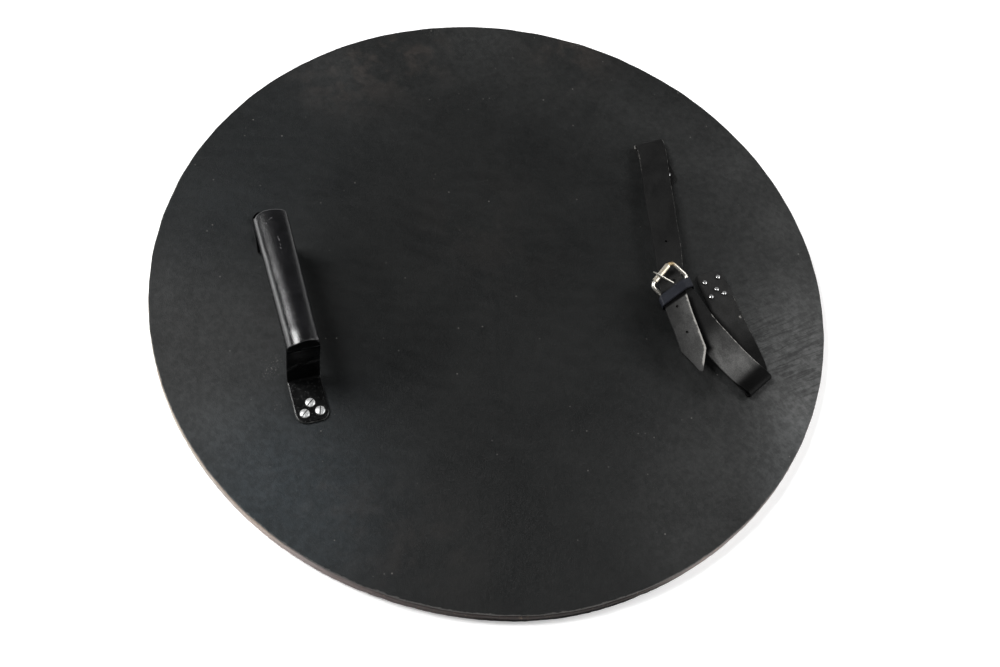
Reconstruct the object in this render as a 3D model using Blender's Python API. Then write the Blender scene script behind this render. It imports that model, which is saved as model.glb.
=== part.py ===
"""Round wooden shield lying on its front face: board, leather facing, hand grip and buckled arm strap.

World frame: +Z up, origin at the centre of the front face, on the surface that the shield lies on.
+X runs along the bearer's forearm, from the hand grip towards the arm strap. Sizes below are in millimetres.
"""

from math import cos, pi, radians, sin

import bmesh
import bpy
import numpy as np
from mathutils import Matrix

MM = 0.001  # metres in one millimetre
GAP = 0.3  # clearance that touching pieces keep

# Board and its leather facing
BOARD_RADIUS = 305.0
BOARD_THICKNESS = 11.7
BOARD_EDGE_ROUND = 2.0
BOARD_SIDES = 88
FACING_THICKNESS = 2.0
FACING_RADIUS = 304.6
FACING_BEVEL = 0.8
FACING_BASE = BOARD_THICKNESS + GAP
DECK = FACING_BASE + FACING_THICKNESS  # the back surface that the grip and straps are fixed on

# Hand grip: a flat steel strap with two feet, two risers and a bar under a leather sleeve
GRIP_CENTRE = (-186.6, 19.6)
GRIP_TURN = -2.3  # degrees that the bar is turned from +Y
GRIP_WIDTH = 28.5
GRIP_THICKNESS = 3.0
GRIP_LENGTH = 134.0  # over the outer faces of the risers
GRIP_FOOT = 41.0
GRIP_BAR_TOP = 72.0  # height of the bar's upper face
GRIP_BEND = 4.5  # outer radius of the upper bends
FOOT_BEND = 3.6  # radius of the lower bends, on the strap's middle
FOOT_CORNER = 9.0
FAR_RISER_ASIDE = 2.4  # the far riser leans this much to the right on its way down
FAR_FOOT_SPLAY = 0.06  # and the far foot this much more in every unit of its length
RISER_BOW = 1.2  # how far each riser bows inwards half-way up
SLEEVE_HALF_WIDTH = (13.9, 14.9)  # at the near end and at the far end
SLEEVE_CROWN = (85.0, 81.5)  # at the near end and at the far end
SLEEVE_SIDE = 75.0  # where the straight sides turn into the crown
SLEEVE_BOTTOM = 66.0
SLEEVE_CORNER = 2.0
SLEEVE_CORE_HALF = 11.6  # half-width of the passage that the bar runs through
SCREW_HEAD_RADIUS = 4.5
SCREW_HEAD_HEIGHT = 2.0
SCREW_SHANK_RADIUS = 2.0
SCREW_DEPTH = 5.5  # where the screw's tip ends, above the front face
SCREW_SLOT_WIDTH = 1.1
SCREW_SLOT_DEPTH = 1.2
SCREW_FROM_RISER = (24.0, 33.0)  # first screw, then the pair behind it
SCREW_PAIR_HALF = 6.6
SCREW_SLOT_TURNS = (20.0, 75.0, -8.0, 50.0, 110.0, 5.0)

# Arm straps
STRAP_THICKNESS = 2.4
STRAP_WIDTH = 27.3
STRAP_LOW = DECK + GAP + STRAP_THICKNESS / 2  # middle height of a layer that lies on the facing
STRAP_CORNER = 8.5
STRAP_STEP = 6.5  # usual distance between two sections of a strap
FLAP_CORNER = 3.0  # corners of the end that is turned back under the buckle
FOLD_RADIUS = 3.0
NAIL_HEAD_RADIUS = 2.4
NAIL_HEAD_HEIGHT = 1.7
NAIL_SHANK_RADIUS = 1.0
NAIL_DEPTH = 4.0
TONGUE_NAILS = ((188.4, 74.2), (201.9, 73.9), (188.2, 90.6), (202.2, 90.2), (195.0, 82.4))
BUCKLE_NAILS = ((188.7, -63.4), (202.1, -63.0), (188.7, -48.0), (203.1, -45.4), (196.8, -57.3))

# Roller buckle
BUCKLE_CENTRE = (149.5, -46.6, 34.0)
BUCKLE_YAW = 36.0
BUCKLE_PITCH = 17.0  # the roller's side is up
BUCKLE_ROLL = 8.0  # the right-hand side is up
BUCKLE_HALF_WIDTH = 15.4
BUCKLE_HALF_LENGTH = 10.5
BUCKLE_CORNER = 4.5
BUCKLE_WIRE = 1.7
ROLLER_RADIUS = 2.7
ROLLER_HALF_LENGTH = 10.2
PRONG_WIRE = 1.15
PRONG_OFFSET = 1.7  # where the hook sits on the hinge bar, right of its middle
PRONG_SWING = 9.5  # degrees that the prong points to the left of straight
PRONG_REACH = 6.0  # how far the tip passes the roller
HINGE_LOOP = BUCKLE_WIRE + GAP + STRAP_THICKNESS / 2 + 0.12  # the loop is a polygon, so a little is added
KEEPER_CENTRE = (147.0, -63.6, 35.0)
KEEPER_YAW = 24.0
KEEPER_ALONG = (0.0, -1.0, -0.05)
KEEPER_UP = (0.0, 0.42, 1.0)
KEEPER_WIDTH = 8.8
KEEPER_THICKNESS = 1.8
TIP_LENGTH = 21.0
TIP_BLUNT = 3.0

# Punched holes in the tongue strap, as distances along it from its pointed tip
PUNCH_RADIUS = 1.35
PUNCH_FROM_TIP = (38.6, 65.2, 143.0)
PUNCH_ASIDE = -0.8  # the row of holes is left of the middle


# ---- helpers ----

def clear_scene():
    for obj in list(bpy.data.objects):
        bpy.data.objects.remove(obj)


def make_material(name, colour, roughness, metallic):
    material = bpy.data.materials.new(name)
    material.use_nodes = True
    shader = material.node_tree.nodes["Principled BSDF"]
    shader.inputs["Base Color"].default_value = (*colour, 1.0)
    shader.inputs["Roughness"].default_value = roughness
    shader.inputs["Metallic"].default_value = metallic
    return material


def add_empty(name, place, turns):
    """A frame of reference, placed in millimetres and turned about its y, then x, then z, in degrees."""
    empty = bpy.data.objects.new(name, None)
    empty.location = [value * MM for value in place]
    empty.rotation_mode = "YXZ"
    empty.rotation_euler = [radians(value) for value in turns]
    bpy.context.scene.collection.objects.link(empty)
    return empty


def add_solid(name, points, faces, material, parent=None):
    """One closed mesh from points in millimetres in its parent's frame, with normals turned outwards."""
    mesh = bpy.data.meshes.new(name)
    mesh.from_pydata((np.asarray(points, float) * MM).tolist(), [], faces)
    work = bmesh.new()
    work.from_mesh(mesh)
    bmesh.ops.recalc_face_normals(work, faces=work.faces)
    work.to_mesh(mesh)
    work.free()
    mesh.shade_smooth()
    mesh.set_sharp_from_angle(angle=radians(35))
    if material:
        mesh.materials.append(material)
    obj = bpy.data.objects.new(name, mesh)
    obj.parent = parent
    bpy.context.scene.collection.objects.link(obj)
    return obj


def ring_faces(rings, sides, closed):
    """Quads between neighbouring rings, with a cap on each end unless the rings close on themselves."""
    faces = []
    for i in range(rings if closed else rings - 1):
        a, b = i * sides, (i + 1) % rings * sides
        for k in range(sides):
            n = (k + 1) % sides
            faces.append((a + k, a + n, b + n, b + k))
    if not closed:
        faces.append(tuple(range(sides)))
        faces.append(tuple(range((rings - 1) * sides, rings * sides)))
    return faces


def add_loft(name, rings, material, parent=None, closed=False):
    rings = np.asarray(rings, float)
    count, sides, _ = rings.shape
    return add_solid(name, rings.reshape(-1, 3), ring_faces(count, sides, closed), material, parent)


def turned(profile, sides):
    """Points and faces of a (radius, height) profile turned about the axis that it starts and ends on."""
    points, faces, rings = [], [], []
    for radius, height in profile:
        count = sides if radius else 1
        rings.append(list(range(len(points), len(points) + count)))
        for a in np.linspace(0, 2 * pi, count, endpoint=False):
            points.append((radius * cos(a), radius * sin(a), height))
    for low, high in zip(rings, rings[1:]):
        for k in range(sides):
            n = (k + 1) % sides
            if len(low) == 1:
                faces.append((low[0], high[n], high[k]))
            elif len(high) == 1:
                faces.append((low[k], low[n], high[0]))
            else:
                faces.append((low[k], low[n], high[n], high[k]))
    return points, faces


def add_turned(name, profile, sides, material, parent=None):
    points, faces = turned(profile, sides)
    return add_solid(name, points, faces, material, parent)


def add_cutter(name, shapes, parent=None):
    """One hidden object that holds several closed shapes, each given as points and faces."""
    points, faces = [], []
    for shape_points, shape_faces in shapes:
        base = len(points)
        points.extend(shape_points)
        faces.extend(tuple(base + i for i in face) for face in shape_faces)
    cutter = add_solid(name, points, faces, None, parent)
    cutter.hide_render = True
    cutter.display_type = "WIRE"
    return cutter


def cut(obj, cutter):
    modifier = obj.modifiers.new(cutter.name, "BOOLEAN")
    modifier.operation = "DIFFERENCE"
    modifier.solver = "EXACT"
    modifier.object = cutter


def smooth_path(rows, step):
    """Rows of numbers read off a centripetal Catmull-Rom curve at about this spacing in millimetres."""
    rows = np.asarray(rows, float)
    rows = np.vstack([2 * rows[0] - rows[1], rows, 2 * rows[-1] - rows[-2]])
    knots = np.cumsum(np.r_[0.0, np.sqrt(np.linalg.norm(np.diff(rows[:, :3], axis=0), axis=1))])
    out = []
    for i in range(1, len(rows) - 2):
        p0, p1, p2, p3 = rows[i - 1:i + 3]
        t0, t1, t2, t3 = knots[i - 1:i + 3]
        pieces = max(1, round(np.linalg.norm(p2[:3] - p1[:3]) / step))
        for t in np.linspace(t1, t2, pieces, endpoint=False):
            a1 = (t1 - t) / (t1 - t0) * p0 + (t - t0) / (t1 - t0) * p1
            a2 = (t2 - t) / (t2 - t1) * p1 + (t - t1) / (t2 - t1) * p2
            a3 = (t3 - t) / (t3 - t2) * p2 + (t - t2) / (t3 - t2) * p3
            b1 = (t2 - t) / (t2 - t0) * a1 + (t - t0) / (t2 - t0) * a2
            b2 = (t3 - t) / (t3 - t1) * a2 + (t - t1) / (t3 - t1) * a3
            out.append((t2 - t) / (t2 - t1) * b1 + (t - t1) / (t2 - t1) * b2)
    out.append(rows[-2])
    return np.array(out)


def unit(vectors):
    return vectors / np.linalg.norm(vectors, axis=-1, keepdims=True)


def slab_section(half_width, half_thickness, chamfer):
    """Eight points, (across, outwards), round a flat section with chamfered edges."""
    w, t = half_width, half_thickness
    return (
        (chamfer - w, t), (w - chamfer, t), (w, t - chamfer), (w, chamfer - t),
        (w - chamfer, -t), (chamfer - w, -t), (-w, chamfer - t), (-w, t - chamfer),
    )


def wire_rings(path, radii, sides, closed):
    """Rings of a round wire that runs along a flat path."""
    path = np.asarray(path, float)
    around = np.vstack([path[-1], path, path[0]]) if closed else np.vstack([path[0], path, path[-1]])
    tangent = unit(around[2:] - around[:-2])
    plane = unit(np.cross(path[1] - path[0], path[len(path) // 3] - path[0]))
    turn = np.linspace(0, 2 * pi, sides, endpoint=False)
    rings = []
    for point, way, radius in zip(path, tangent, radii):
        side = unit(np.cross(way, plane))
        rings.append([point + radius * (side * cos(a) + plane * sin(a)) for a in turn])
    return rings


def buckle_axes():
    """The buckle's own x, y and z directions, as columns."""
    turn = Matrix.Rotation(radians(BUCKLE_YAW), 3, "Z") @ Matrix.Rotation(radians(BUCKLE_PITCH), 3, "X")
    return np.array(turn @ Matrix.Rotation(radians(-BUCKLE_ROLL), 3, "Y"))


# ---- arm strap leather ----

def half_turn(centre_xy, heading, low, radius, side, width, steps=6):
    """Stations round a fold: a half circle from the lower layer to the upper one."""
    rows = []
    for k in range(steps + 1):
        a = pi * k / steps
        out = radius * sin(a)
        rows.append((
            centre_xy[0] + out * sin(radians(heading)),
            centre_xy[1] + out * cos(radians(heading)),
            low + radius * (1 - cos(a)),
            side, 0.0, width,
        ))
    return rows


def strap_lines(stations):
    """Middle line and right-hand vectors of a strap.

    A station is x, y, z of the strap's middle, the angle of its right-hand side from +X,
    how far that side is tipped up, and the width there.
    """
    side, tip = np.radians(stations[:, 3]), np.radians(stations[:, 4])
    right = np.stack([np.cos(side) * np.cos(tip), np.sin(side) * np.cos(tip), np.sin(tip)], axis=1)
    return stations[:, :3], right


def strap_rings(stations, half_width):
    middle, right = strap_lines(stations)
    normal = unit(np.cross(right, np.gradient(middle, axis=0)))
    half, chamfer = STRAP_THICKNESS / 2, STRAP_THICKNESS * 0.25
    return [
        [m + r * across + n * out for across, out in slab_section(w, half, chamfer)]
        for m, r, n, w in zip(middle, right, normal, half_width)
    ]


def distance_along(stations):
    return np.r_[0.0, np.cumsum(np.linalg.norm(np.diff(stations[:, :3], axis=0), axis=1))]


def round_end(distance, half_width, corner):
    """Half-width near a straight-cut end whose corners are rounded."""
    reach = np.clip(corner - distance, 0.0, corner)
    return half_width - (corner - np.sqrt(corner**2 - reach**2))


def point_end(distance, half_width):
    """Half-width near the end that is cut to a blunt point."""
    return half_width * np.minimum(1.0, (distance + TIP_BLUNT) / (TIP_LENGTH + TIP_BLUNT))


def tongue_stations():
    rows = [
        (195.2, 63.8, STRAP_LOW, 0, 0, STRAP_WIDTH),
        (195.2, 72.0, STRAP_LOW, 0, 0, STRAP_WIDTH),
        (195.2, 90.0, STRAP_LOW, 0, 0, STRAP_WIDTH),
        (195.2, 101.0, STRAP_LOW, 1, 0, STRAP_WIDTH),
        *half_turn((195.4, 109.4), 0.0, STRAP_LOW, FOLD_RADIUS, 2.5, STRAP_WIDTH + 1.2),
        (193.4, 98.0, 22.6, -3, 0, STRAP_WIDTH + 0.6),
        (187.8, 78.0, 24.0, -11, -1, STRAP_WIDTH),
        (175.0, 33.5, 26.6, -14, -2, 27.0),
        (164.8, -5.6, 28.6, -14, -2, 25.8),
        (158.2, -28.0, 29.2, -9, -1, 24.6),
        (154.6, -37.5, 29.8, 4, 0, 24.0),
        (151.8, -42.8, 31.2, 10, 0, 24.0),
        (149.6, -46.6, 34.7, 11, 2, 24.0),
        (148.3, -50.4, 37.3, 9, 2, 24.0),
        (147.2, -55.4, 38.3, 4, 0, 24.0),
        (145.6, -64.0, 38.7, -5, -2, 24.0),
        (143.8, -80.0, 38.6, -4, -3, 24.0),
        (143.0, -100.0, 38.2, -2, -4, 24.0),
        (141.9, -118.0, 37.4, -3, -4, 24.0),
        (140.6, -140.6, 36.0, -4, -4, 24.0),
    ]
    return smooth_path(rows, STRAP_STEP)


def buckle_strap_stations():
    """From the end turned back, round the hinge bar, along the top layer and round the fold."""
    axes = buckle_axes()
    hinge = np.array(BUCKLE_CENTRE) - axes[:, 1] * BUCKLE_HALF_LENGTH
    hinge_side = np.degrees(np.arctan2(axes[1, 0], axes[0, 0]))
    hinge_tip = np.degrees(np.arcsin(axes[2, 0]))
    away = np.array([sin(radians(hinge_side)), -cos(radians(hinge_side))])
    rows = [
        (159.4, -82.0, 27.4, 25, 12, 21.0),
        (157.2, -73.0, 29.0, 27, 9, 21.0),
        (155.9, -64.0, 29.4, 30, 8, 20.0),
    ]
    for k in range(7):
        a = pi * k / 6
        out = HINGE_LOOP * sin(a)
        rows.append((
            hinge[0] - away[0] * out, hinge[1] - away[1] * out, hinge[2] - HINGE_LOOP * cos(a),
            hinge_side, hinge_tip, 17.6,
        ))
    rows += [
        (155.9, -63.5, 34.2, 29, 7, 22.0),
        (157.6, -73.0, 32.6, 26, 9, 26.0),
        (162.3, -92.0, 28.4, 22, 14, STRAP_WIDTH),
        (175.6, -124.5, 24.0, 22, 17, STRAP_WIDTH),
        (184.8, -143.5, 21.9, 23, 11, STRAP_WIDTH + 0.8),
    ]
    fold = half_turn((193.1, -158.6), 180.0 - 23.8, STRAP_LOW, FOLD_RADIUS, 23.8, STRAP_WIDTH + 2.4)
    rows += fold[::-1]
    rows += [
        (195.8, -146.0, STRAP_LOW, 12, 0, STRAP_WIDTH + 0.8),
        (196.8, -128.0, STRAP_LOW, 2, 0, STRAP_WIDTH),
        (196.3, -90.0, STRAP_LOW, 0, 0, STRAP_WIDTH),
        (196.0, -48.0, STRAP_LOW, 0, 0, STRAP_WIDTH),
        (196.0, -37.5, STRAP_LOW, 0, 0, STRAP_WIDTH),
    ]
    return smooth_path(rows, STRAP_STEP)


# ---- board, facing and their fixings ----

def shafts(spots, radius, bottom, top, sides):
    """Upright closed cylinders at these spots."""
    shapes = []
    for x, y in spots:
        points, faces = turned([(0.0, bottom), (radius, bottom), (radius, top), (0.0, top)], sides)
        shapes.append(([(px + x, py + y, pz) for px, py, pz in points], faces))
    return shapes


def build_board(wood, leather, grip):
    corner = np.linspace(0, pi / 2, 3)
    edge = BOARD_EDGE_ROUND
    lower = [(BOARD_RADIUS - edge * (1 - sin(a)), edge * (1 - cos(a))) for a in corner]
    upper = [(radius, BOARD_THICKNESS - height) for radius, height in reversed(lower)]
    outline = [(0.0, 0.0), *lower, *upper, (0.0, BOARD_THICKNESS)]
    board = add_turned("wooden_board", outline, BOARD_SIDES, wood)
    facing = add_turned("back_leather", [
        (0.0, FACING_BASE), (FACING_RADIUS, FACING_BASE), (FACING_RADIUS, DECK - FACING_BEVEL),
        (FACING_RADIUS - FACING_BEVEL, DECK), (0.0, DECK),
    ], BOARD_SIDES, leather)
    above = DECK + 10
    screws = shafts(screw_spots(), SCREW_SHANK_RADIUS + GAP, SCREW_DEPTH - GAP, above, 10)
    nails = shafts(TONGUE_NAILS + BUCKLE_NAILS, NAIL_SHANK_RADIUS + GAP, NAIL_DEPTH - GAP, above, 8)
    for cutter in (add_cutter("screw_holes", screws, grip), add_cutter("nail_holes", nails)):
        cut(board, cutter)
        cut(facing, cutter)


def screw_spots():
    """Screw centres in the grip's frame: one on each foot's middle line and a pair behind it."""
    first, second = (GRIP_LENGTH / 2 + reach for reach in SCREW_FROM_RISER)
    spots = []
    for along in (-first, first):
        second_row = along + (second - first) * (1 if along > 0 else -1)
        for across, y in ((0.0, along), (-SCREW_PAIR_HALF, second_row), (SCREW_PAIR_HALF, second_row)):
            spots.append((across + far_aside(y, DECK), y))
    return spots


def build_screws(steel, grip):
    """Slotted dome-headed screws, three in each foot, each stopped at its own angle."""
    seat = DECK + GAP + GRIP_THICKNESS + GAP
    top = seat + SCREW_HEAD_HEIGHT
    dome = [(SCREW_HEAD_RADIUS * sin(a), seat + 0.5 + (SCREW_HEAD_HEIGHT - 0.5) * cos(a))
            for a in np.linspace(pi / 2, 0, 4)]
    profile = [
        (0.0, SCREW_DEPTH), (SCREW_SHANK_RADIUS * 0.5, SCREW_DEPTH), (SCREW_SHANK_RADIUS, SCREW_DEPTH + 2.5),
        (SCREW_SHANK_RADIUS, seat), (SCREW_HEAD_RADIUS - 0.3, seat), *dome[:-1], (0.0, top),
    ]
    half, reach = SCREW_SLOT_WIDTH / 2, SCREW_HEAD_RADIUS + 1
    slot = [(x, y, z) for z in (top - SCREW_SLOT_DEPTH, top + 1)
            for x, y in ((-reach, -half), (reach, -half), (reach, half), (-reach, half))]
    for i, ((x, y), turn) in enumerate(zip(screw_spots(), SCREW_SLOT_TURNS), 1):
        screw = add_turned(f"grip_screw_{i}", profile, 12, steel, grip)
        cutter = add_cutter(f"screw_slot_{i}", [(slot, ring_faces(2, 4, False))], grip)
        for obj in (screw, cutter):
            obj.location = (x * MM, y * MM, 0.0)
            obj.rotation_euler.z = radians(turn)
        cut(screw, cutter)


def build_nails(steel):
    """Dome-headed nails through the fixed end of each strap."""
    seat = DECK + GAP + STRAP_THICKNESS + GAP
    dome = [(NAIL_HEAD_RADIUS * sin(a), seat + 0.3 + (NAIL_HEAD_HEIGHT - 0.3) * cos(a))
            for a in np.linspace(pi / 2, 0, 4)]
    profile = [
        (0.0, NAIL_DEPTH), (NAIL_SHANK_RADIUS, NAIL_DEPTH + 2.5), (NAIL_SHANK_RADIUS, seat),
        (NAIL_HEAD_RADIUS - 0.1, seat), *dome[:-1], (0.0, dome[-1][1]),
    ]
    for i, (x, y) in enumerate(TONGUE_NAILS + BUCKLE_NAILS, 1):
        nail = add_turned(f"strap_nail_{i}", profile, 8, steel)
        nail.location = (x * MM, y * MM, 0.0)


# ---- hand grip, in its own frame: x across the bar, y along it ----

def far_aside(along, height):
    """How far the far riser and its foot stand to the right of the bar's own line."""
    if along <= 0:
        return 0.0
    top = SLEEVE_BOTTOM - 2
    down = min(1.0, max(0.0, (top - height) / (top - DECK)))
    return FAR_RISER_ASIDE * down + FAR_FOOT_SPLAY * max(0.0, along - GRIP_LENGTH / 2)


def grip_half_path():
    """The bent strap's middle line from near foot to mid-bar: distance along the bar, height, half-width."""
    middle = (GRIP_LENGTH - GRIP_THICKNESS) / 2
    low = DECK + GAP + GRIP_THICKNESS / 2
    high = GRIP_BAR_TOP - GRIP_THICKNESS / 2
    top_bend = GRIP_BEND - GRIP_THICKNESS / 2
    half = GRIP_WIDTH / 2
    end = GRIP_LENGTH / 2 + GRIP_FOOT
    bottom, top = low + FOOT_BEND, high - top_bend
    rows = []
    for d in FOOT_CORNER * (1 - np.cos(np.linspace(0, pi / 2, 6))):
        rows.append((d - end, low, float(round_end(d, half, FOOT_CORNER))))
    for a in np.linspace(0, pi / 2, 5):
        rows.append((-middle - FOOT_BEND * (1 - sin(a)), low + FOOT_BEND * (1 - cos(a)), half))
    for u in np.linspace(0, 1, 7)[1:]:
        rows.append((-middle + RISER_BOW * (1 - abs(2 * u - 1) ** 1.6), bottom + (top - bottom) * u, half))
    for a in np.linspace(0, pi / 2, 5)[1:]:
        rows.append((-middle + top_bend * (1 - cos(a)), top + top_bend * sin(a), half))
    shoulder = -middle + top_bend + 0.1
    rows.append((shoulder, high, SLEEVE_CORE_HALF - GAP))
    rows.append((shoulder * 0.5, high, SLEEVE_CORE_HALF - GAP))
    return rows


def build_bracket(steel, grip):
    near = grip_half_path()
    rows = np.array(near + [(-y, z, w) for y, z, w in reversed(near)])
    tangent = unit(np.gradient(rows[:, :2], axis=0))
    half, chamfer = GRIP_THICKNESS / 2, 0.6
    rings = []
    for (y, z, w), (ty, tz) in zip(rows, tangent):
        rings.append([
            (across + far_aside(y, z), y - tz * out, z + ty * out)
            for across, out in slab_section(w, half, chamfer)
        ])
    bracket = add_loft("grip_bracket", rings, steel, grip)
    holes = shafts(screw_spots(), SCREW_SHANK_RADIUS + GAP, DECK - 2, DECK + 10, 10)
    cut(bracket, add_cutter("foot_holes", holes, grip))


def sleeve_outline(half_width, crown):
    """D-shaped outline: flat underside with small round corners, upright sides and an elliptical crown."""
    outline = []
    for side, start in ((-1, pi), (1, 1.5 * pi)):
        for a in np.linspace(start, start + pi / 2, 4):
            outline.append((
                side * (half_width - SLEEVE_CORNER) + SLEEVE_CORNER * cos(a),
                SLEEVE_BOTTOM + SLEEVE_CORNER * (1 + sin(a)),
            ))
    for a in np.linspace(0, pi, 13):
        outline.append((half_width * cos(a), SLEEVE_SIDE + (crown - SLEEVE_SIDE) * sin(a)))
    return outline


def build_sleeve(leather, grip):
    end = GRIP_LENGTH / 2
    rings = []
    for y, inset in ((-end, 0.8), (0.8 - end, 0.0), (0.0, 0.0), (end - 0.8, 0.0), (end, 0.8)):
        share = (y + end) / (2 * end)
        width = SLEEVE_HALF_WIDTH[0] + share * (SLEEVE_HALF_WIDTH[1] - SLEEVE_HALF_WIDTH[0])
        crown = SLEEVE_CROWN[0] + share * (SLEEVE_CROWN[1] - SLEEVE_CROWN[0])
        rings.append([
            (x * (1 - inset / width), y, z - inset * (z > SLEEVE_SIDE))
            for x, z in sleeve_outline(width, crown)
        ])
    sleeve = add_loft("grip_sleeve", rings, leather, grip)
    # The bar's passage between the risers, opening out under the crown over each bend
    inner = end - GRIP_BEND - GAP
    floor = GRIP_BAR_TOP - GRIP_THICKNESS - GAP
    roof = GRIP_BAR_TOP + GAP
    open_end = (GRIP_WIDTH, SLEEVE_BOTTOM - 5)
    passage = []
    for y, (half, low) in (
        (-end - 5, open_end), (-inner, open_end), (0.01 - inner, (SLEEVE_CORE_HALF, floor)),
        (inner - 0.01, (SLEEVE_CORE_HALF, floor)), (inner, open_end), (end + 5, open_end),
    ):
        passage.extend([(-half, y, low), (half, y, low), (half, y, roof), (-half, y, roof)])
    cut(sleeve, add_cutter("bar_passage", [(passage, ring_faces(6, 4, False))], grip))


# ---- roller buckle, in its own frame: x along the hinge bar, y towards the roller ----

def frame_path():
    """The frame wire's middle line: a rectangle with round corners."""
    path = []
    x, y, c = BUCKLE_HALF_WIDTH, BUCKLE_HALF_LENGTH, BUCKLE_CORNER
    for cx, cy, start in ((x - c, y - c, 0), (c - x, y - c, 90), (c - x, c - y, 180), (x - c, c - y, 270)):
        for a in np.radians(np.linspace(start, start + 90, 5)):
            path.append((cx + c * cos(a), cy + c * sin(a), 0.0))
    return np.array(path)


def prong_point(reach, height):
    """A point of the prong's own plane, this far from the hinge bar towards the roller and this far up."""
    swing = radians(PRONG_SWING)
    return (PRONG_OFFSET - reach * sin(swing), -BUCKLE_HALF_LENGTH + reach * cos(swing), height)


def prong_path():
    """The prong's middle line: hooked under the hinge bar, over it and straight on past the roller."""
    hook = BUCKLE_WIRE + GAP + PRONG_WIRE
    over = ROLLER_RADIUS + GAP + PRONG_WIRE
    path = [prong_point(-hook * cos(a), hook * sin(a)) for a in np.radians(np.linspace(-60, 100, 9))]
    for share in (0.35, 0.7, 1.0):
        path.append(prong_point(share * 2 * BUCKLE_HALF_LENGTH, hook + share * (over - hook)))
    path.append(prong_point(2 * BUCKLE_HALF_LENGTH + PRONG_REACH * 0.6, over + 0.1))
    path.append(prong_point(2 * BUCKLE_HALF_LENGTH + PRONG_REACH, over - 0.4))
    return np.array(path)


def build_buckle(nickel, buckle):
    frame = frame_path()
    add_loft("buckle_frame", wire_rings(frame, [BUCKLE_WIRE] * len(frame), 8, True), nickel, buckle, True)
    inner, outer, reach = BUCKLE_WIRE + GAP, ROLLER_RADIUS, ROLLER_HALF_LENGTH
    turn = np.linspace(0, 2 * pi, 16, endpoint=False)
    rings = []
    for x, radius in ((-reach, inner), (-reach, outer), (reach, outer), (reach, inner)):
        rings.append([(x, BUCKLE_HALF_LENGTH + radius * cos(a), radius * sin(a)) for a in turn])
    add_loft("buckle_roller", rings, nickel, buckle, True)
    prong = prong_path()
    radii = [PRONG_WIRE] * (len(prong) - 2) + [PRONG_WIRE * 0.9, PRONG_WIRE * 0.6]
    add_loft("buckle_prong", wire_rings(prong, radii, 8, False), nickel, buckle)


# ---- arm straps ----

def interpolate(wanted, distance, columns):
    return np.stack([np.interp(wanted, distance, column) for column in columns.T], axis=-1)


def with_fine_ends(stations, spots):
    """Adds stations at these distances from the start, so that a rounded end keeps its shape."""
    distance = distance_along(stations)
    wanted = np.unique(np.round(np.r_[distance, spots], 3))
    return interpolate(wanted, distance, stations)


def corner_spots(corner):
    return corner * (1 - np.cos(np.linspace(0, pi / 2, 5)))[1:]


def build_tongue(leather, buckle):
    stations = with_fine_ends(tongue_stations(), corner_spots(STRAP_CORNER))
    distance = distance_along(stations)
    half = stations[:, 5] / 2
    width = np.minimum(round_end(distance, half, STRAP_CORNER), point_end(distance[-1] - distance, half))
    strap = add_loft("tongue_strap", strap_rings(stations, width), leather)
    holes = shafts(TONGUE_NAILS, NAIL_SHANK_RADIUS + GAP, DECK - 2, STRAP_LOW + STRAP_THICKNESS, 8)
    middle, right = strap_lines(stations)
    for reach in PUNCH_FROM_TIP:
        spot, ahead = (interpolate(distance[-1] - at, distance, middle) for at in (reach, reach - 2))
        side = unit(interpolate(distance[-1] - reach, distance, right))
        normal = unit(np.cross(side, ahead - spot))
        forward = np.cross(normal, side)
        points = [
            spot + side * PUNCH_ASIDE + normal * height + PUNCH_RADIUS * (side * cos(a) + forward * sin(a))
            for height in (-4.0, 4.0) for a in np.linspace(0, 2 * pi, 10, endpoint=False)
        ]
        holes.append((points, ring_faces(2, 10, False)))
    cut(strap, add_cutter("tongue_holes", holes))
    straight = prong_path()[7:]
    rings = wire_rings(straight, [PRONG_WIRE + GAP] * len(straight), 10, False)
    points = [point for ring in rings for point in ring]
    cut(strap, add_cutter("prong_passage", [(points, ring_faces(len(rings), 10, False))], buckle))
    return stations


def build_buckle_strap(leather, buckle):
    stations = buckle_strap_stations()
    total = distance_along(stations)[-1]
    stations = with_fine_ends(stations, np.r_[corner_spots(FLAP_CORNER), total - corner_spots(STRAP_CORNER)])
    distance = distance_along(stations)
    half = stations[:, 5] / 2
    flap_end = round_end(distance, half, FLAP_CORNER)
    width = np.minimum(flap_end, round_end(distance[-1] - distance, half, STRAP_CORNER))
    strap = add_loft("buckle_strap", strap_rings(stations, width), leather)
    holes = shafts(BUCKLE_NAILS, NAIL_SHANK_RADIUS + GAP, DECK - 2, STRAP_LOW + STRAP_THICKNESS, 8)
    cut(strap, add_cutter("buckle_strap_holes", holes))
    # The slot that the prong's hook swings in
    half_slot = PRONG_WIRE + GAP + 0.8
    back = BUCKLE_WIRE + 2 * PRONG_WIRE + 3 * GAP
    slot = [
        (PRONG_OFFSET + x, -BUCKLE_HALF_LENGTH + y, z)
        for x in (-half_slot, half_slot) for y, z in ((-back, -7.5), (9.0, -7.5), (9.0, 4.6), (-back, 4.6))
    ]
    cut(strap, add_cutter("prong_slot", [(slot, ring_faces(2, 4, False))], buckle))
    return stations


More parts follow.
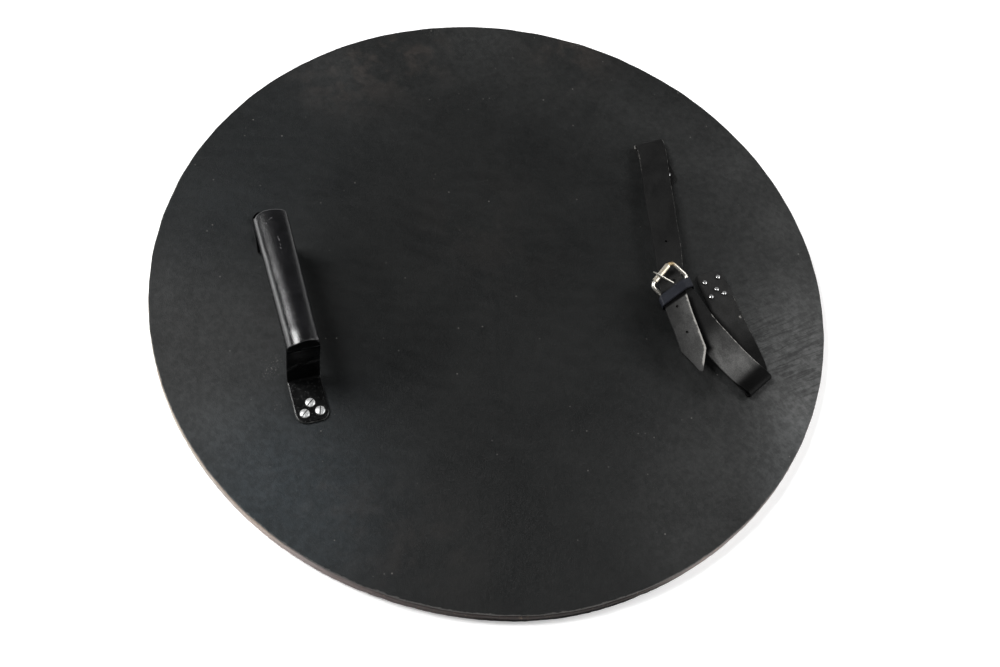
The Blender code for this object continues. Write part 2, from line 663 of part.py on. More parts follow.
def build_keeper(tongue, lower, leather):
    """A leather loop round the straps and the frame's corner: the hull of their sections, with clearance."""
    yaw = radians(KEEPER_YAW)
    across = np.array([cos(yaw), sin(yaw), 0.0])
    along, up = unit(np.array(KEEPER_ALONG)), unit(np.array(KEEPER_UP))
    centre = np.array(KEEPER_CENTRE)
    skew = 1 / np.linalg.norm(np.cross(across, along))
    to_loop = np.linalg.inv(np.stack([across, along, up], axis=1))
    half = KEEPER_WIDTH / 2
    held = []
    for stations in (tongue, lower):
        distance = distance_along(stations)
        fine = interpolate(np.arange(0.0, distance[-1], 0.5), distance, stations)
        middle, right = strap_lines(fine)
        normal = unit(np.cross(right, np.gradient(middle, axis=0)))
        raised = middle[:, 2] > STRAP_LOW + 6
        for side in (-0.5, 0.5):
            for face in (-0.5, 0.5):
                edge = middle + side * right * fine[:, 5:6] + face * normal * STRAP_THICKNESS
                held.append(edge[raised])
    corners = frame_path()
    shares = np.arange(0, 1, 0.05)
    wire = np.concatenate([corners * (1 - share) + np.roll(corners, -1, axis=0) * share for share in shares])
    wire = np.array(BUCKLE_CENTRE) + wire @ buckle_axes().T
    held += [wire + way * BUCKLE_WIRE * 1.05 for way in (across, -across, up, -up, along, -along)]
    places = (np.vstack(held) - centre) @ to_loop.T
    flat = places[np.abs(places[:, 1]) < half + GAP][:, [0, 2]]
    rings = []
    for a in np.radians(np.arange(0, 360, 15)):
        out = np.array([cos(a), sin(a)])
        spot = flat[np.argmax(flat @ out)] + (GAP + KEEPER_THICKNESS / 2) * out * (skew, 1)
        middle = centre + across * spot[0] + up * spot[1]
        normal = across * out[0] * skew + up * out[1]
        rings.append([
            middle + along * i + normal * j for i, j in slab_section(half, KEEPER_THICKNESS / 2, 0.4)
        ])
    add_loft("strap_keeper", rings, leather, None, True)


def main():
    clear_scene()
    wood = make_material("wood_rim", (0.22, 0.11, 0.075), 0.6, 0.0)
    facing = make_material("facing_leather", (0.022, 0.022, 0.023), 0.5, 0.0)
    steel = make_material("black_steel", (0.008, 0.008, 0.009), 0.35, 0.0)
    sleeve = make_material("sleeve_leather", (0.03, 0.03, 0.031), 0.35, 0.0)
    strap = make_material("strap_leather", (0.035, 0.034, 0.034), 0.55, 0.0)
    keeper = make_material("keeper_leather", (0.03, 0.031, 0.04), 0.6, 0.0)
    screw = make_material("screw_steel", (0.62, 0.62, 0.61), 0.3, 1.0)
    nail = make_material("nail_steel", (0.66, 0.66, 0.66), 0.25, 1.0)
    nickel = make_material("buckle_nickel", (0.66, 0.63, 0.54), 0.22, 1.0)
    grip = add_empty("grip", (*GRIP_CENTRE, 0.0), (0.0, 0.0, GRIP_TURN))
    buckle = add_empty("buckle", BUCKLE_CENTRE, (BUCKLE_PITCH, -BUCKLE_ROLL, BUCKLE_YAW))
    build_board(wood, facing, grip)
    build_bracket(steel, grip)
    build_sleeve(sleeve, grip)
    build_screws(screw, grip)
    build_nails(nail)
    build_buckle(nickel, buckle)
    tongue = build_tongue(strap, buckle)
    lower = build_buckle_strap(strap, buckle)
    build_keeper(tongue, lower, keeper)


main()
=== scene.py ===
import math

import bpy
import numpy as np
from mathutils import Matrix


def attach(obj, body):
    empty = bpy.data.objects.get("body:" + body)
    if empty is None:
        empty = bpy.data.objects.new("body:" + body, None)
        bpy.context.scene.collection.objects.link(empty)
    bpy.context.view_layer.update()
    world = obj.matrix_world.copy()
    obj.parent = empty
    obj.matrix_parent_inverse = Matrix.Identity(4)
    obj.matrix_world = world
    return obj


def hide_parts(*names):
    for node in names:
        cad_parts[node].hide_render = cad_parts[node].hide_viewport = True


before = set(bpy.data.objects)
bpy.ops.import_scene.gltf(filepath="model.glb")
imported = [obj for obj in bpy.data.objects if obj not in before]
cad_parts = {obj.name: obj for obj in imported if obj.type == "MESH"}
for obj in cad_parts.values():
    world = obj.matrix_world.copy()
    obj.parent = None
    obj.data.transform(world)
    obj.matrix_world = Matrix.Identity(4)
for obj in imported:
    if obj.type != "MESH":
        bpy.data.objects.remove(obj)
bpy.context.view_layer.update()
mm = 0.001  # metres in a millimetre; every size below is in millimetres
quarter = np.pi / 2
upward = np.array([0.0, 0.0, 1.0])
print("frame loaded:", len(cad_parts), "pieces of the CAD model")


def unit(vectors):  # each vector over its own length
    return vectors / np.maximum(np.linalg.norm(vectors, axis=-1, keepdims=True), 1e-12)


def ease(x):  # 3x squared less 2x cubed, held between 0 and 1
    x = np.clip(x, 0.0, 1.0)
    return x * x * (3 - 2 * x)


def bell(x):  # e to the minus square of x
    return np.exp(-(x**2))


def joined(*columns):  # coordinates of one shape, side by side along a new last axis
    return np.stack(np.broadcast_arrays(*columns), axis=-1)


def lengthAlong(points):  # the running sum of the distances between neighbouring points
    return np.r_[0.0, np.cumsum(np.linalg.norm(np.diff(points, axis=0), axis=1))]


def readOff(points, along, places):  # every column of the points, straight between their distances along
    return joined(*(np.interp(places, along, column) for column in points.T))


def ripple(x, y, size, seed):
    # The sum of sine waves in seeded directions and lengths near this size, over the root of half their count
    rng = np.random.default_rng(seed)
    count = 9
    turns = rng.uniform(0, 2 * np.pi, count)
    starts = rng.uniform(0, 2 * np.pi, count)
    stretches = rng.uniform(0.6, 1.7, count)
    total = 0.0
    for turn, start, stretch in zip(turns, starts, stretches):
        along = x * np.cos(turn) + y * np.sin(turn)
        total = total + np.sin(along * 2 * np.pi / size * stretch + start)
    return total / math.sqrt(count / 2)


def spots(x, y, places):
    # The sum of bells, each its strength times e to the minus squared distance over its squared radius
    total = np.zeros_like(x)
    for px, py, radius, strength in places:
        total = total + strength * np.exp(-((x - px) ** 2 + (y - py) ** 2) / radius**2)
    return np.clip(total, 0.0, 1.0)


def stroke(x, y, start, end, width):
    # A bell of the distance from a line between two points
    ax, ay = end[0] - start[0], end[1] - start[1]
    share = np.clip(((x - start[0]) * ax + (y - start[1]) * ay) / (ax * ax + ay * ay), 0.0, 1.0)
    return np.exp(-((x - start[0] - share * ax) ** 2 + (y - start[1] - share * ay) ** 2) / width**2)


def cellCorners(shape):
    # The point numbers at the four corners of each cell of a grid, in turn round the cell
    index = np.arange(shape[0] * shape[1]).reshape(shape)
    return index[:-1, :-1], index[:-1, 1:], index[1:, 1:], index[1:, :-1]


def flatValues(values, shape):  # every value spread over the grid, as one column
    return {name: np.broadcast_to(value, shape).reshape(-1) for name, value in values.items()}


def closedShell(points, quads, uv, values):
    # The signed volume under the quads is negative where they face inwards, and then each one is reversed
    a, b, c, d = (points[quads[:, k]] for k in range(4))
    if np.sum(a * (np.cross(b, c) + np.cross(c, d))) <= 0:
        quads = quads[:, ::-1]
    return {"points": points, "quads": quads, "uv": uv, "values": values}


def gridShell(points, uv, values):
    # Quads between each point of a grid and the next ones down and across
    shape = points.shape[:2]
    quads = joined(*cellCorners(shape)).reshape(-1, 4)
    return closedShell(points.reshape(-1, 3), quads, uv.reshape(-1, 2), flatValues(values, shape))


def sheetShell(over, under, keep, uv, values, closedRows=False, closedColumns=False):
    # The kept cells of the upper surface, the same cells of the lower one reversed,
    # and a wall at each edge between a kept cell and a missing one
    shape = over.shape[:2]
    count = shape[0] * shape[1]
    a, b, c, d = cellCorners(shape)
    upper = joined(a, b, c, d)[keep]
    around = np.pad(keep, ((1, 1), (0, 0)), mode="wrap" if closedRows else "constant")
    around = np.pad(around, ((0, 0), (1, 1)), mode="wrap" if closedColumns else "constant")
    sides = (
        (a, b, around[:-2, 1:-1]), (b, c, around[1:-1, 2:]),
        (c, d, around[2:, 1:-1]), (d, a, around[1:-1, :-2]),
    )
    walls = []
    for first, second, beyond in sides:
        edge = keep & ~beyond
        p, q = first[edge], second[edge]
        walls.append(joined(q, p, p + count, q + count))
    quads = np.concatenate([upper, upper[:, ::-1] + count, *walls])
    points = np.concatenate([over.reshape(-1, 3), under.reshape(-1, 3)])
    underShift = 60  # how far away the underside's pattern lies
    flatUv = uv.reshape(-1, 2)
    bothUv = np.concatenate([flatUv, flatUv + [0.0, underShift * mm]])
    twice = {name: np.tile(value, 2) for name, value in flatValues(values, shape).items()}
    return closedShell(points, quads, bothUv, twice)


def weldedMesh(name, shells):
    # Points of a shell that fall in the same tiny cell become one, so seams and poles close,
    # and a quad with two corners on one point becomes a triangle
    cellsPerMm = 2500
    cellOffset = 0.1234  # keeps round sizes off the border between two cells
    starts = np.cumsum([0] + [len(shell["points"]) for shell in shells])
    points = np.concatenate([shell["points"] for shell in shells])
    quads = np.concatenate([shell["quads"] + start for shell, start in zip(shells, starts)])
    uv = np.concatenate([shell["uv"] for shell in shells])
    part = np.repeat(np.arange(len(shells)), np.diff(starts))
    cells = np.column_stack([np.round(points * cellsPerMm + cellOffset).astype(np.int64), part])
    _, first, index = np.unique(cells, axis=0, return_index=True, return_inverse=True)
    corners = index.reshape(-1)[quads]
    same = corners == np.roll(corners, -1, axis=1)
    whole = same.sum(axis=1) <= 1
    corners, same, quads = corners[whole], same[whole], quads[whole]
    used, loops = np.unique(corners[~same], return_inverse=True)
    sides = 4 - same.sum(axis=1)
    mesh = bpy.data.meshes.new(name)
    mesh.vertices.add(len(used))
    mesh.vertices.foreach_set("co", (points[first[used]] * mm).astype(np.float32).ravel())
    mesh.loops.add(len(loops))
    mesh.loops.foreach_set("vertex_index", loops.astype(np.int32))
    mesh.polygons.add(len(sides))
    mesh.polygons.foreach_set("loop_start", np.r_[0, np.cumsum(sides)[:-1]].astype(np.int32))
    mesh.update(calc_edges=True)
    mesh.uv_layers.new(name="surface").data.foreach_set("uv", uv[quads[~same]].astype(np.float32).ravel())
    for label in sorted({key for shell in shells for key in shell["values"]}):
        blank = (np.zeros(len(shell["points"])) for shell in shells)
        column = np.concatenate([shell["values"].get(label, zeros) for shell, zeros in zip(shells, blank)])
        layer = mesh.attributes.new(label, "FLOAT", "POINT")
        layer.data.foreach_set("value", column[first[used]].astype(np.float32))
    return mesh


def makePiece(name, shells, material, slot, *stands):
    # The shells as one smooth object, in which turns sharper than this angle keep their edge
    sharpTurn = 38
    mesh = weldedMesh(name, shells)
    mesh.shade_smooth()
    mesh.set_sharp_from_angle(angle=math.radians(sharpTurn))
    mesh.materials.append(material)
    piece = bpy.data.objects.new(name, mesh)
    bpy.context.scene.collection.objects.link(piece)
    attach(piece, "root")
    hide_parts(*stands)


def turnedShell(radius, height, columns, values=None, shift=None):
    # A profile of radius and height carried round the vertical axis, which its first and last points lie on
    turn = np.linspace(0, 2 * np.pi, columns + 1)
    profile = joined(radius, height).astype(float)
    r, z = profile[:, :1], profile[:, 1:]
    points = joined(r * np.cos(turn), r * np.sin(turn), z)
    if shift is not None:
        points = shift(points)
    uv = joined(turn * np.max(radius), lengthAlong(profile)[:, None]) * mm
    return gridShell(points, uv, values or {})


def tubeShell(path, radius, sides, closed, plane, values):
    # A round section carried along a flat path: radius times the cosine across the path
    # and the sine out of its plane
    ring = np.vstack([path, path[:1]]) if closed else path
    ahead = np.vstack([ring[1:], ring[1] if closed else 2 * ring[-1] - ring[-2]])
    behind = np.vstack([ring[-2] if closed else 2 * ring[0] - ring[1], ring[:-1]])
    across = unit(np.cross(unit(ahead - behind), plane))
    turn = np.linspace(0, 2 * np.pi, sides + 1)
    size = np.broadcast_to(radius, len(path)).astype(float)
    size = (np.r_[size, size[0]] if closed else size)[:, None, None]
    section = across[:, None, :] * np.cos(turn)[None, :, None] + unit(plane) * np.sin(turn)[None, :, None]
    uv = joined(lengthAlong(ring)[:, None], turn * np.max(size)) * mm
    return gridShell(ring[:, None, :] + size * section, uv, values)


def smoothPath(stations, step):
    # Centripetal Catmull-Rom: every point blends the four nearest stations
    # by knots that grow with the root of the distance, and is then spaced evenly
    samples = 6000
    rows = np.asarray(stations, float)
    rows = np.vstack([2 * rows[0] - rows[1], rows, 2 * rows[-1] - rows[-2]])
    knots = np.r_[0.0, np.cumsum(np.sqrt(np.linalg.norm(np.diff(rows[:, :3], axis=0), axis=1)))]
    t = np.linspace(knots[1], knots[-2], samples)
    i = np.clip(np.searchsorted(knots, t, side="right") - 1, 1, len(rows) - 3)

    def blend(a, b, low, high):
        share = ((t - knots[i + low]) / (knots[i + high] - knots[i + low]))[:, None]
        return (1 - share) * a + share * b

    p = [rows[i + k] for k in (-1, 0, 1, 2)]
    first = [blend(p[k], p[k + 1], k - 1, k) for k in range(3)]
    second = [blend(first[k], first[k + 1], k - 1, k + 1) for k in range(2)]
    fine = blend(second[0], second[1], 0, 1)
    along = lengthAlong(fine[:, :3])
    even = np.linspace(0.0, along[-1], max(2, round(along[-1] / step) + 1))
    return even, readOff(fine, along, even)


def roundEnd(distance, half, corner):
    # Half-width near a straight end with round corners: less the corner's own circle
    reach = np.clip(corner - distance, 0.0, corner)
    return half - (corner - np.sqrt(corner**2 - reach**2))


def roundHole(down, across, keep, hole, along, cells):
    # The square of cells round a hole's middle is drawn onto an ellipse,
    # and the cells beyond it ease back to their places
    holeAlong, holeAcross, holeLong, holeWide = hole
    row = int(np.argmin(np.abs(along - holeAlong)))
    column = int(np.argmin(np.abs(across[row] - holeAcross)))
    di, dj = (index - middle for index, middle in zip(np.indices(down.shape), (row, column)))
    ring = np.maximum(np.abs(di), np.abs(dj))
    turn = np.arctan2(dj, di)
    back = ease((ring - cells) / (cells * 2.0))
    size = ring / cells
    near = ring < cells * 3
    ovalDown = holeAlong + size * holeLong * np.cos(turn)
    ovalAcross = holeAcross + size * holeWide * np.sin(turn)
    down = np.where(near, back * down + (1 - back) * ovalDown, down)
    across = np.where(near, back * across + (1 - back) * ovalAcross, across)
    inside = ring < cells
    return down, across, keep & ~(inside[:-1, :-1] | inside[1:, 1:] | inside[:-1, 1:] | inside[1:, :-1])


def slabShell(along, middle, right, half, look, values, holes=(), slots=(), closed=False, lift=None):
    # A flat band: its middle line, plus right times the place across, plus or minus the normal
    # times a half thickness that rounds off at the edges
    normal = unit(np.cross(right, np.gradient(middle, axis=0)))
    if closed:
        loop = np.vstack([middle[-2], middle, middle[1]])
        normal = unit(np.cross(right, loop[2:] - loop[:-2]))
    crowding = 0.92  # of a right angle: the nearer to one, the more columns stand at the edges
    angle = np.linspace(-1, 1, look["columns"]) * quarter * crowding
    across = np.sin(angle) / np.sin(angle[-1]) * half[:, None]
    down = np.repeat(along[:, None], look["columns"], axis=1)
    keep = np.ones((len(along) - 1, look["columns"] - 1), bool)
    for hole in holes:
        down, across, keep = roundHole(down, across, keep, hole, along, look["holeCells"])
    midDown = (down[:-1, :-1] + down[1:, 1:]) / 2
    midAcross = (across[:-1, :-1] + across[1:, 1:]) / 2
    for low, high, leftSide, rightSide in slots:
        keep &= ~((midDown > low) & (midDown < high) & (midAcross > leftSide) & (midAcross < rightSide))

    place, aside, out = (readOff(line, along, down) for line in (middle, right, normal))
    halfHere = np.interp(down, along, half)
    fromEdge = np.maximum(halfHere - np.abs(across), 0.0)
    if not closed:
        fromEdge = np.minimum(fromEdge, np.minimum(down - along[0], along[-1] - down))
    roundOff = look["edgeRound"]
    inset = np.clip(roundOff - fromEdge, 0.0, roundOff)
    thick = look["thickness"] / 2 - roundOff + np.sqrt(roundOff**2 - inset**2)
    centre = place + aside * across[..., None]
    if lift is not None:
        centre = centre + out * lift(down, across)[..., None]
    uneven = ripple(down, across, look["unevenSize"], look["seed"])
    if closed:
        # Over the last fifth it eases into the ripple of one length earlier, so both ends meet
        earlier = ripple(down - along[-1], across, look["unevenSize"], look["seed"])
        uneven = uneven + (earlier - uneven) * ease((down / along[-1] - 0.8) / 0.2)
    thick = (thick * (1 + look["unevenness"] * uneven))[..., None]
    known = {label: worked(down, across) for label, worked in values.items()}
    known["edge"] = np.exp(-fromEdge / look["edgeWear"])
    over, under = centre + out * thick, centre - out * thick
    return sheetShell(over, under, keep, joined(down, across) * mm, known, closedRows=closed)


class Channel:
    # The output of a shader node; a sign between channels, or a channel and a number, adds one maths node

    def __init__(self, socket):
        self.socket = socket
        self.tree = socket.id_data

    def __add__(self, other):
        return maths("ADD", self, other)

    def __sub__(self, other):
        return maths("SUBTRACT", self, other)

    def __rsub__(self, other):
        return maths("SUBTRACT", other, self)

    def __mul__(self, other):
        return maths("MULTIPLY", self, other)

    def __truediv__(self, other):
        return maths("DIVIDE", self, other)


def linked(channel, socket):  # a line from a channel to a socket
    channel.tree.links.new(channel.socket, socket)


def node(kind, inputs=None, tree=None, **settings):
    # A new node beside the nodes that feed it; numbers and colours are set on its own sockets
    inputs = inputs or {}
    tree = tree or next(value.tree for value in inputs.values() if isinstance(value, Channel))
    made = tree.nodes.new(kind)
    for key, value in settings.items():
        setattr(made, key, value)
    for key, value in inputs.items():
        if isinstance(value, Channel):
            linked(value, made.inputs[key])
        else:
            made.inputs[key].default_value = value
    return {key: Channel(socket) for key, socket in [*enumerate(made.outputs), *made.outputs.items()]}


def maths(operation, *values, clamp=False):  # one maths node with its values
    return node("ShaderNodeMath", dict(enumerate(values)), operation=operation, use_clamp=clamp)[0]


def mixed(factor, a, b):  # the first colour, towards the second by the factor
    return node("ShaderNodeMix", {0: factor, 6: a, 7: b}, data_type="RGBA")[2]


def ranged(value, low, high, toLow=0.0, toHigh=1.0):  # one range carried to another, eased at both ends
    sockets = {"Value": value, "From Min": low, "From Max": high, "To Min": toLow, "To Max": toHigh}
    return node("ShaderNodeMapRange", sockets, interpolation_type="SMOOTHSTEP")[0]


def noise(vector, scale, detail=4.0, roughness=0.55, distortion=0.0):
    sockets = {
        "Vector": vector, "Scale": scale, "Detail": detail, "Roughness": roughness, "Distortion": distortion
    }
    return node("ShaderNodeTexNoise", sockets)[0]


def cellWalls(vector, scale):  # the distance to the nearest wall of random cells
    return node("ShaderNodeTexVoronoi", {"Vector": vector, "Scale": scale}, feature="DISTANCE_TO_EDGE")[0]


def stretched(vector, scale=(1.0, 1.0, 1.0), turn=0.0):  # scaled, and turned about Z in degrees
    sockets = {"Vector": vector, "Scale": scale, "Rotation": (0.0, 0.0, math.radians(turn))}
    return node("ShaderNodeMapping", sockets)[0]


def newGroup(name, inputs, outputs):
    # An input without a value is a vector, one with a tuple is a colour, and the others are numbers
    tree = bpy.data.node_groups.new(name, "ShaderNodeTree")
    for label, value in inputs.items():
        kind = "Vector" if value is None else "Color" if isinstance(value, tuple) else "Float"
        socket = tree.interface.new_socket(name=label, in_out="INPUT", socket_type="NodeSocket" + kind)
        if value is not None:
            socket.default_value = value
    for label in outputs:
        kind = "Color" if label == "Color" else "Float"
        tree.interface.new_socket(name=label, in_out="OUTPUT", socket_type="NodeSocket" + kind)
    given = tree.nodes.new("NodeGroupInput").outputs
    channels = {socket.name: Channel(socket) for socket in given if socket.name}
    return tree, channels, tree.nodes.new("NodeGroupOutput").inputs


def makeGrainGroup():
    # Pebbles: distance to the nearest cell wall, with finer cells and a soft noise laid over it
    tree, given, out = newGroup("leatherGrain", {"Vector": None, "Size": 500.0}, ["Height", "Pits"])
    vector, size = given["Vector"], given["Size"]
    bent = node("ShaderNodeTexNoise", {"Vector": vector, "Scale": size * 0.35, "Detail": 3.0})
    offset = node("ShaderNodeVectorMath", {0: bent[1], "Scale": 0.004}, operation="SCALE")[0]
    place = node("ShaderNodeVectorMath", {0: vector, 1: offset}, operation="ADD")[0]
    walls = ranged(cellWalls(place, size), 0.0, 0.16)
    small = ranged(cellWalls(place, size * 2.3), 0.0, 0.2)
    soft = noise(vector, size * 0.5, 5.0, 0.6)
    linked(walls * 0.5 + small * 0.25 + soft * 0.6, out["Height"])
    linked(1.0 - walls, out["Pits"])
    return tree


def makeCloudGroup():
    # Broad clouds broken by a finer noise, sharpened about the middle by the contrast
    black, white = (0, 0, 0, 1), (1, 1, 1, 1)
    inputs = {"Vector": None, "Size": 12.0, "Contrast": 1.0, "Dark": black, "Light": white}
    tree, given, out = newGroup("cloudyTone", inputs, ["Color", "Mask"])
    broad = noise(given["Vector"], given["Size"], 5.0, 0.62, 0.6)
    fine = noise(given["Vector"], given["Size"] * 9.0, 4.0, 0.6)
    total = broad * 0.75 + fine * 0.25
    mask = maths("ADD", (total - 0.5) * (given["Contrast"] * 4.0), 0.5, clamp=True)
    linked(mixed(mask, given["Dark"], given["Light"]), out["Color"])
    linked(mask, out["Mask"])
    return tree


def makeScratchGroup():
    # Three sets of long thin noise, each in its own direction, kept only in a narrow band
    # and broken into short lengths by a broad noise
    inputs = {"Vector": None, "Size": 60.0, "Amount": 0.5}
    tree, given, out = newGroup("fineScratches", inputs, ["Mask"])
    size, low = given["Size"], 0.8 - given["Amount"] * 0.3
    masks = []
    for turn, seed in ((24.0, 3.1), (-51.0, 7.7), (83.0, 12.4)):
        long = stretched(stretched(given["Vector"], turn=turn), (0.09, 1.0, 1.0))
        moved = node("ShaderNodeVectorMath", {0: long, 1: (seed, seed, seed)}, operation="ADD")[0]
        band = maths("ABSOLUTE", noise(moved, size * 2.2, 2.0, 0.5, 0.4) - 0.5)
        broken = noise(moved, size * 0.9, 3.0, 0.6)
        masks.append(ranged(band, 0.014, 0.0) * ranged(broken, low, low + 0.08))
    linked(maths("MAXIMUM", maths("MAXIMUM", masks[0], masks[1]), masks[2]), out["Mask"])
    return tree


def makeSpeckGroup():
    # Small round cells, of which only those with a high random value are kept
    inputs = {"Vector": None, "Size": 300.0, "Amount": 0.1}
    tree, given, out = newGroup("paleSpecks", inputs, ["Mask"])
    cell = node(
        "ShaderNodeTexVoronoi", {"Vector": given["Vector"], "Scale": given["Size"], "Randomness": 1.0}
    )
    dot = ranged(cell["Distance"], 0.3, 0.1)
    chance = node("ShaderNodeSeparateColor", {0: cell["Color"]})[0]
    linked(dot * ranged(chance, 1.0 - given["Amount"], 1.0), out["Mask"])
    return tree


def makeEdgeGroup():
    # The distance mask of an edge, raised or lowered by noise and cut off near one half
    inputs = {"Edge": 0.0, "Vector": None, "Size": 120.0, "Reach": 0.5}
    tree, given, out = newGroup("wornEdge", inputs, ["Mask"])
    broken = noise(given["Vector"], given["Size"], 5.0, 0.65)
    start = 1.0 - given["Reach"]
    linked(ranged(given["Edge"] + (broken - 0.5) * 1.1, start, start + 0.3), out["Mask"])
    return tree


def makeWoodGroup():
    # Long grain: noise stretched along X, with finer pores over it
    tree, given, out = newGroup("woodGrain", {"Vector": None, "Size": 14.0}, ["Height", "Tone"])
    rings = noise(stretched(given["Vector"], (0.07, 1.0, 1.0)), given["Size"] * 3.0, 6.0, 0.6, 1.4)
    pores = noise(stretched(given["Vector"], (0.03, 1.0, 1.0)), given["Size"] * 26.0, 3.0, 0.7)
    linked(rings * 0.5 + pores * 0.5, out["Height"])
    linked(ranged(rings, 0.32, 0.68), out["Tone"])
    return tree


grainGroup = makeGrainGroup()
cloudGroup = makeCloudGroup()
scratchGroup = makeScratchGroup()
speckGroup = makeSpeckGroup()
edgeGroup = makeEdgeGroup()
woodGroup = makeWoodGroup()
print("shared shader groups built")


def rgba(values, share=1.0):  # a colour's three values times the share, and an alpha of one
    return (*(share * value for value in values), 1.0)


def newMaterial(name, constants):
    # The material, its object coordinates, a lookup of the mesh's attributes, and its shader
    material = bpy.data.materials.new(name)
    material.use_nodes = True
    tree = material.node_tree
    shader = tree.nodes["Principled BSDF"]
    for label, value in constants.items():
        shader.inputs[label].default_value = value

    def attribute(label):
        return node("ShaderNodeAttribute", tree=tree, attribute_name=label)["Fac"]

    return material, node("ShaderNodeTexCoord", tree=tree)["Object"], attribute, shader


def placed(group, **inputs):  # a shared group, with this material's own values
    return node("ShaderNodeGroup", inputs, node_tree=group)


def cloud(vector, size, contrast, dark, light):
    return placed(cloudGroup, Vector=vector, Size=size, Contrast=contrast, Dark=dark, Light=light)


def scratched(vector, size, amount):
    return placed(scratchGroup, Vector=vector, Size=size, Amount=amount)["Mask"]


def specked(vector, size, amount):
    return placed(speckGroup, Vector=vector, Size=size, Amount=amount)["Mask"]


def wornAway(edge, vector, size, reach):
    return placed(edgeGroup, Edge=edge, Vector=vector, Size=size, Reach=reach)["Mask"]


def bumped(height, strength, distance, under=None):  # the distance in millimetres, over another normal
    sockets = {"Height": height, "Strength": strength, "Distance": distance * mm}
    if under is not None:
        sockets["Normal"] = under
    return node("ShaderNodeBump", sockets)[0]


def finish(shader, base, roughness, normal, metallic=None):
    channels = {"Base Color": base, "Roughness": roughness, "Normal": normal, "Metallic": metallic}
    for label, channel in channels.items():
        if channel is not None:
            linked(channel, shader.inputs[label])


rimChannels = ("rimRed", "rimGreen", "rimBlue")
board = {
    "radius": 305.0, "thickness": 11.7, "edgeRound": 2.0, "columns": 620, "frontRows": 56, "chips": 0.16,
    "chipSize": 9.0, "plankWidth": 92.0, "bulge": (-99.0, 15.0, 2.3), "frontDark": (0.060, 0.026, 0.018),
    "frontLight": (0.150, 0.072, 0.050), "bareWood": (0.42, 0.30, 0.20), "lipColour": (0.33, 0.27, 0.22),
    "underShade": (0.0030, 0.0027, 0.0027), "layerShade": (0.02, 0.014, 0.012),
    "joinShade": (0.01, 0.006, 0.005),
    # Angle round the rim from +X in degrees, then the colour of the edge there
    # Partly the stain, partly painted light and shade: pale on the lit left, near black from -125 to -85
    # degrees
    "rimTones": (
        (-180, (0.60, 0.56, 0.50)), (-166, (0.58, 0.54, 0.485)), (-155, (0.50, 0.445, 0.41)),
        (-149, (0.53, 0.445, 0.40)), (-141, (0.39, 0.335, 0.32)), (-133, (0.225, 0.188, 0.182)),
        (-125, (0.110, 0.092, 0.090)), (-117, (0.084, 0.073, 0.070)), (-108, (0.074, 0.063, 0.060)),
        (-98, (0.060, 0.055, 0.053)), (-92, (0.042, 0.038, 0.037)), (-85, (0.062, 0.056, 0.053)),
        (-75, (0.25, 0.22, 0.21)), (-40, (0.22, 0.19, 0.18)), (60, (0.16, 0.12, 0.10)),
        (140, (0.34, 0.30, 0.27)), (180, (0.60, 0.56, 0.50)),
    ),
}


def makeRimWood(look):
    material, place, attribute, shader = newMaterial("rimWood", {"Specular IOR Level": 0.03})
    bare = rgba(look["bareWood"])
    # The edge's colour round the rim, with painted light and shade in it
    tones = node("ShaderNodeCombineColor", {k: attribute(label) for k, label in enumerate(rimChannels)})[0]
    layers = noise(stretched(place, (1.0, 1.0, 14.0)), 60.0, 5.0, 0.65)
    fleck = noise(place, 420.0, 4.0, 0.7)
    rim = mixed(ranged(layers, 0.35, 0.7, 0.0, 0.55), tones, mixed(0.55, tones, rgba(look["layerShade"])))
    rim = mixed(ranged(fleck, 0.6, 0.72, 0.0, 0.7), rim, bare)
    rim = mixed(wornAway(attribute("lip"), place, 90.0, 0.55), rim, rgba(look["lipColour"]))
    rim = mixed(attribute("shade"), rim, rgba(look["underShade"]))  # painted dark band under one side
    grain = placed(woodGroup, Vector=place, Size=14.0)
    front = mixed(grain["Tone"], rgba(look["frontDark"]), rgba(look["frontLight"]))
    worn = cloud(place, 9.0, 1.3, rgba((0, 0, 0)), rgba((1, 1, 1)))["Mask"]
    front = mixed(ranged(worn, 0.78, 1.0) * 0.28, front, bare)
    # Plank joins: the distance to the nearest multiple of the plank's width, across the grain
    planks = node("ShaderNodeSeparateXYZ", {0: place})["Y"] / (look["plankWidth"] * mm)
    gap = ranged(maths("PINGPONG", planks, 0.5), 0.016, 0.004)
    front = mixed(gap, front, rgba(look["joinShade"]))
    isFront = attribute("front")
    base = mixed(isFront, rim, front)
    base = mixed(scratched(place, 22.0, 0.6) * 0.5, base, bare)
    normal = bumped(grain["Height"] * 0.4 - gap * isFront, 0.8, 0.6)
    normal = bumped(layers, 0.6, 0.5, normal)
    finish(shader, base, ranged(layers, 0.3, 0.7, 0.55, 0.8), normal)
    return material


def outOfRound(x, y, bulge):  # the bulge's height times a bell of the angle from its middle, over its width
    middle, width, height = bulge
    return height * bell((np.degrees(np.arctan2(y, x)) - middle) / width)


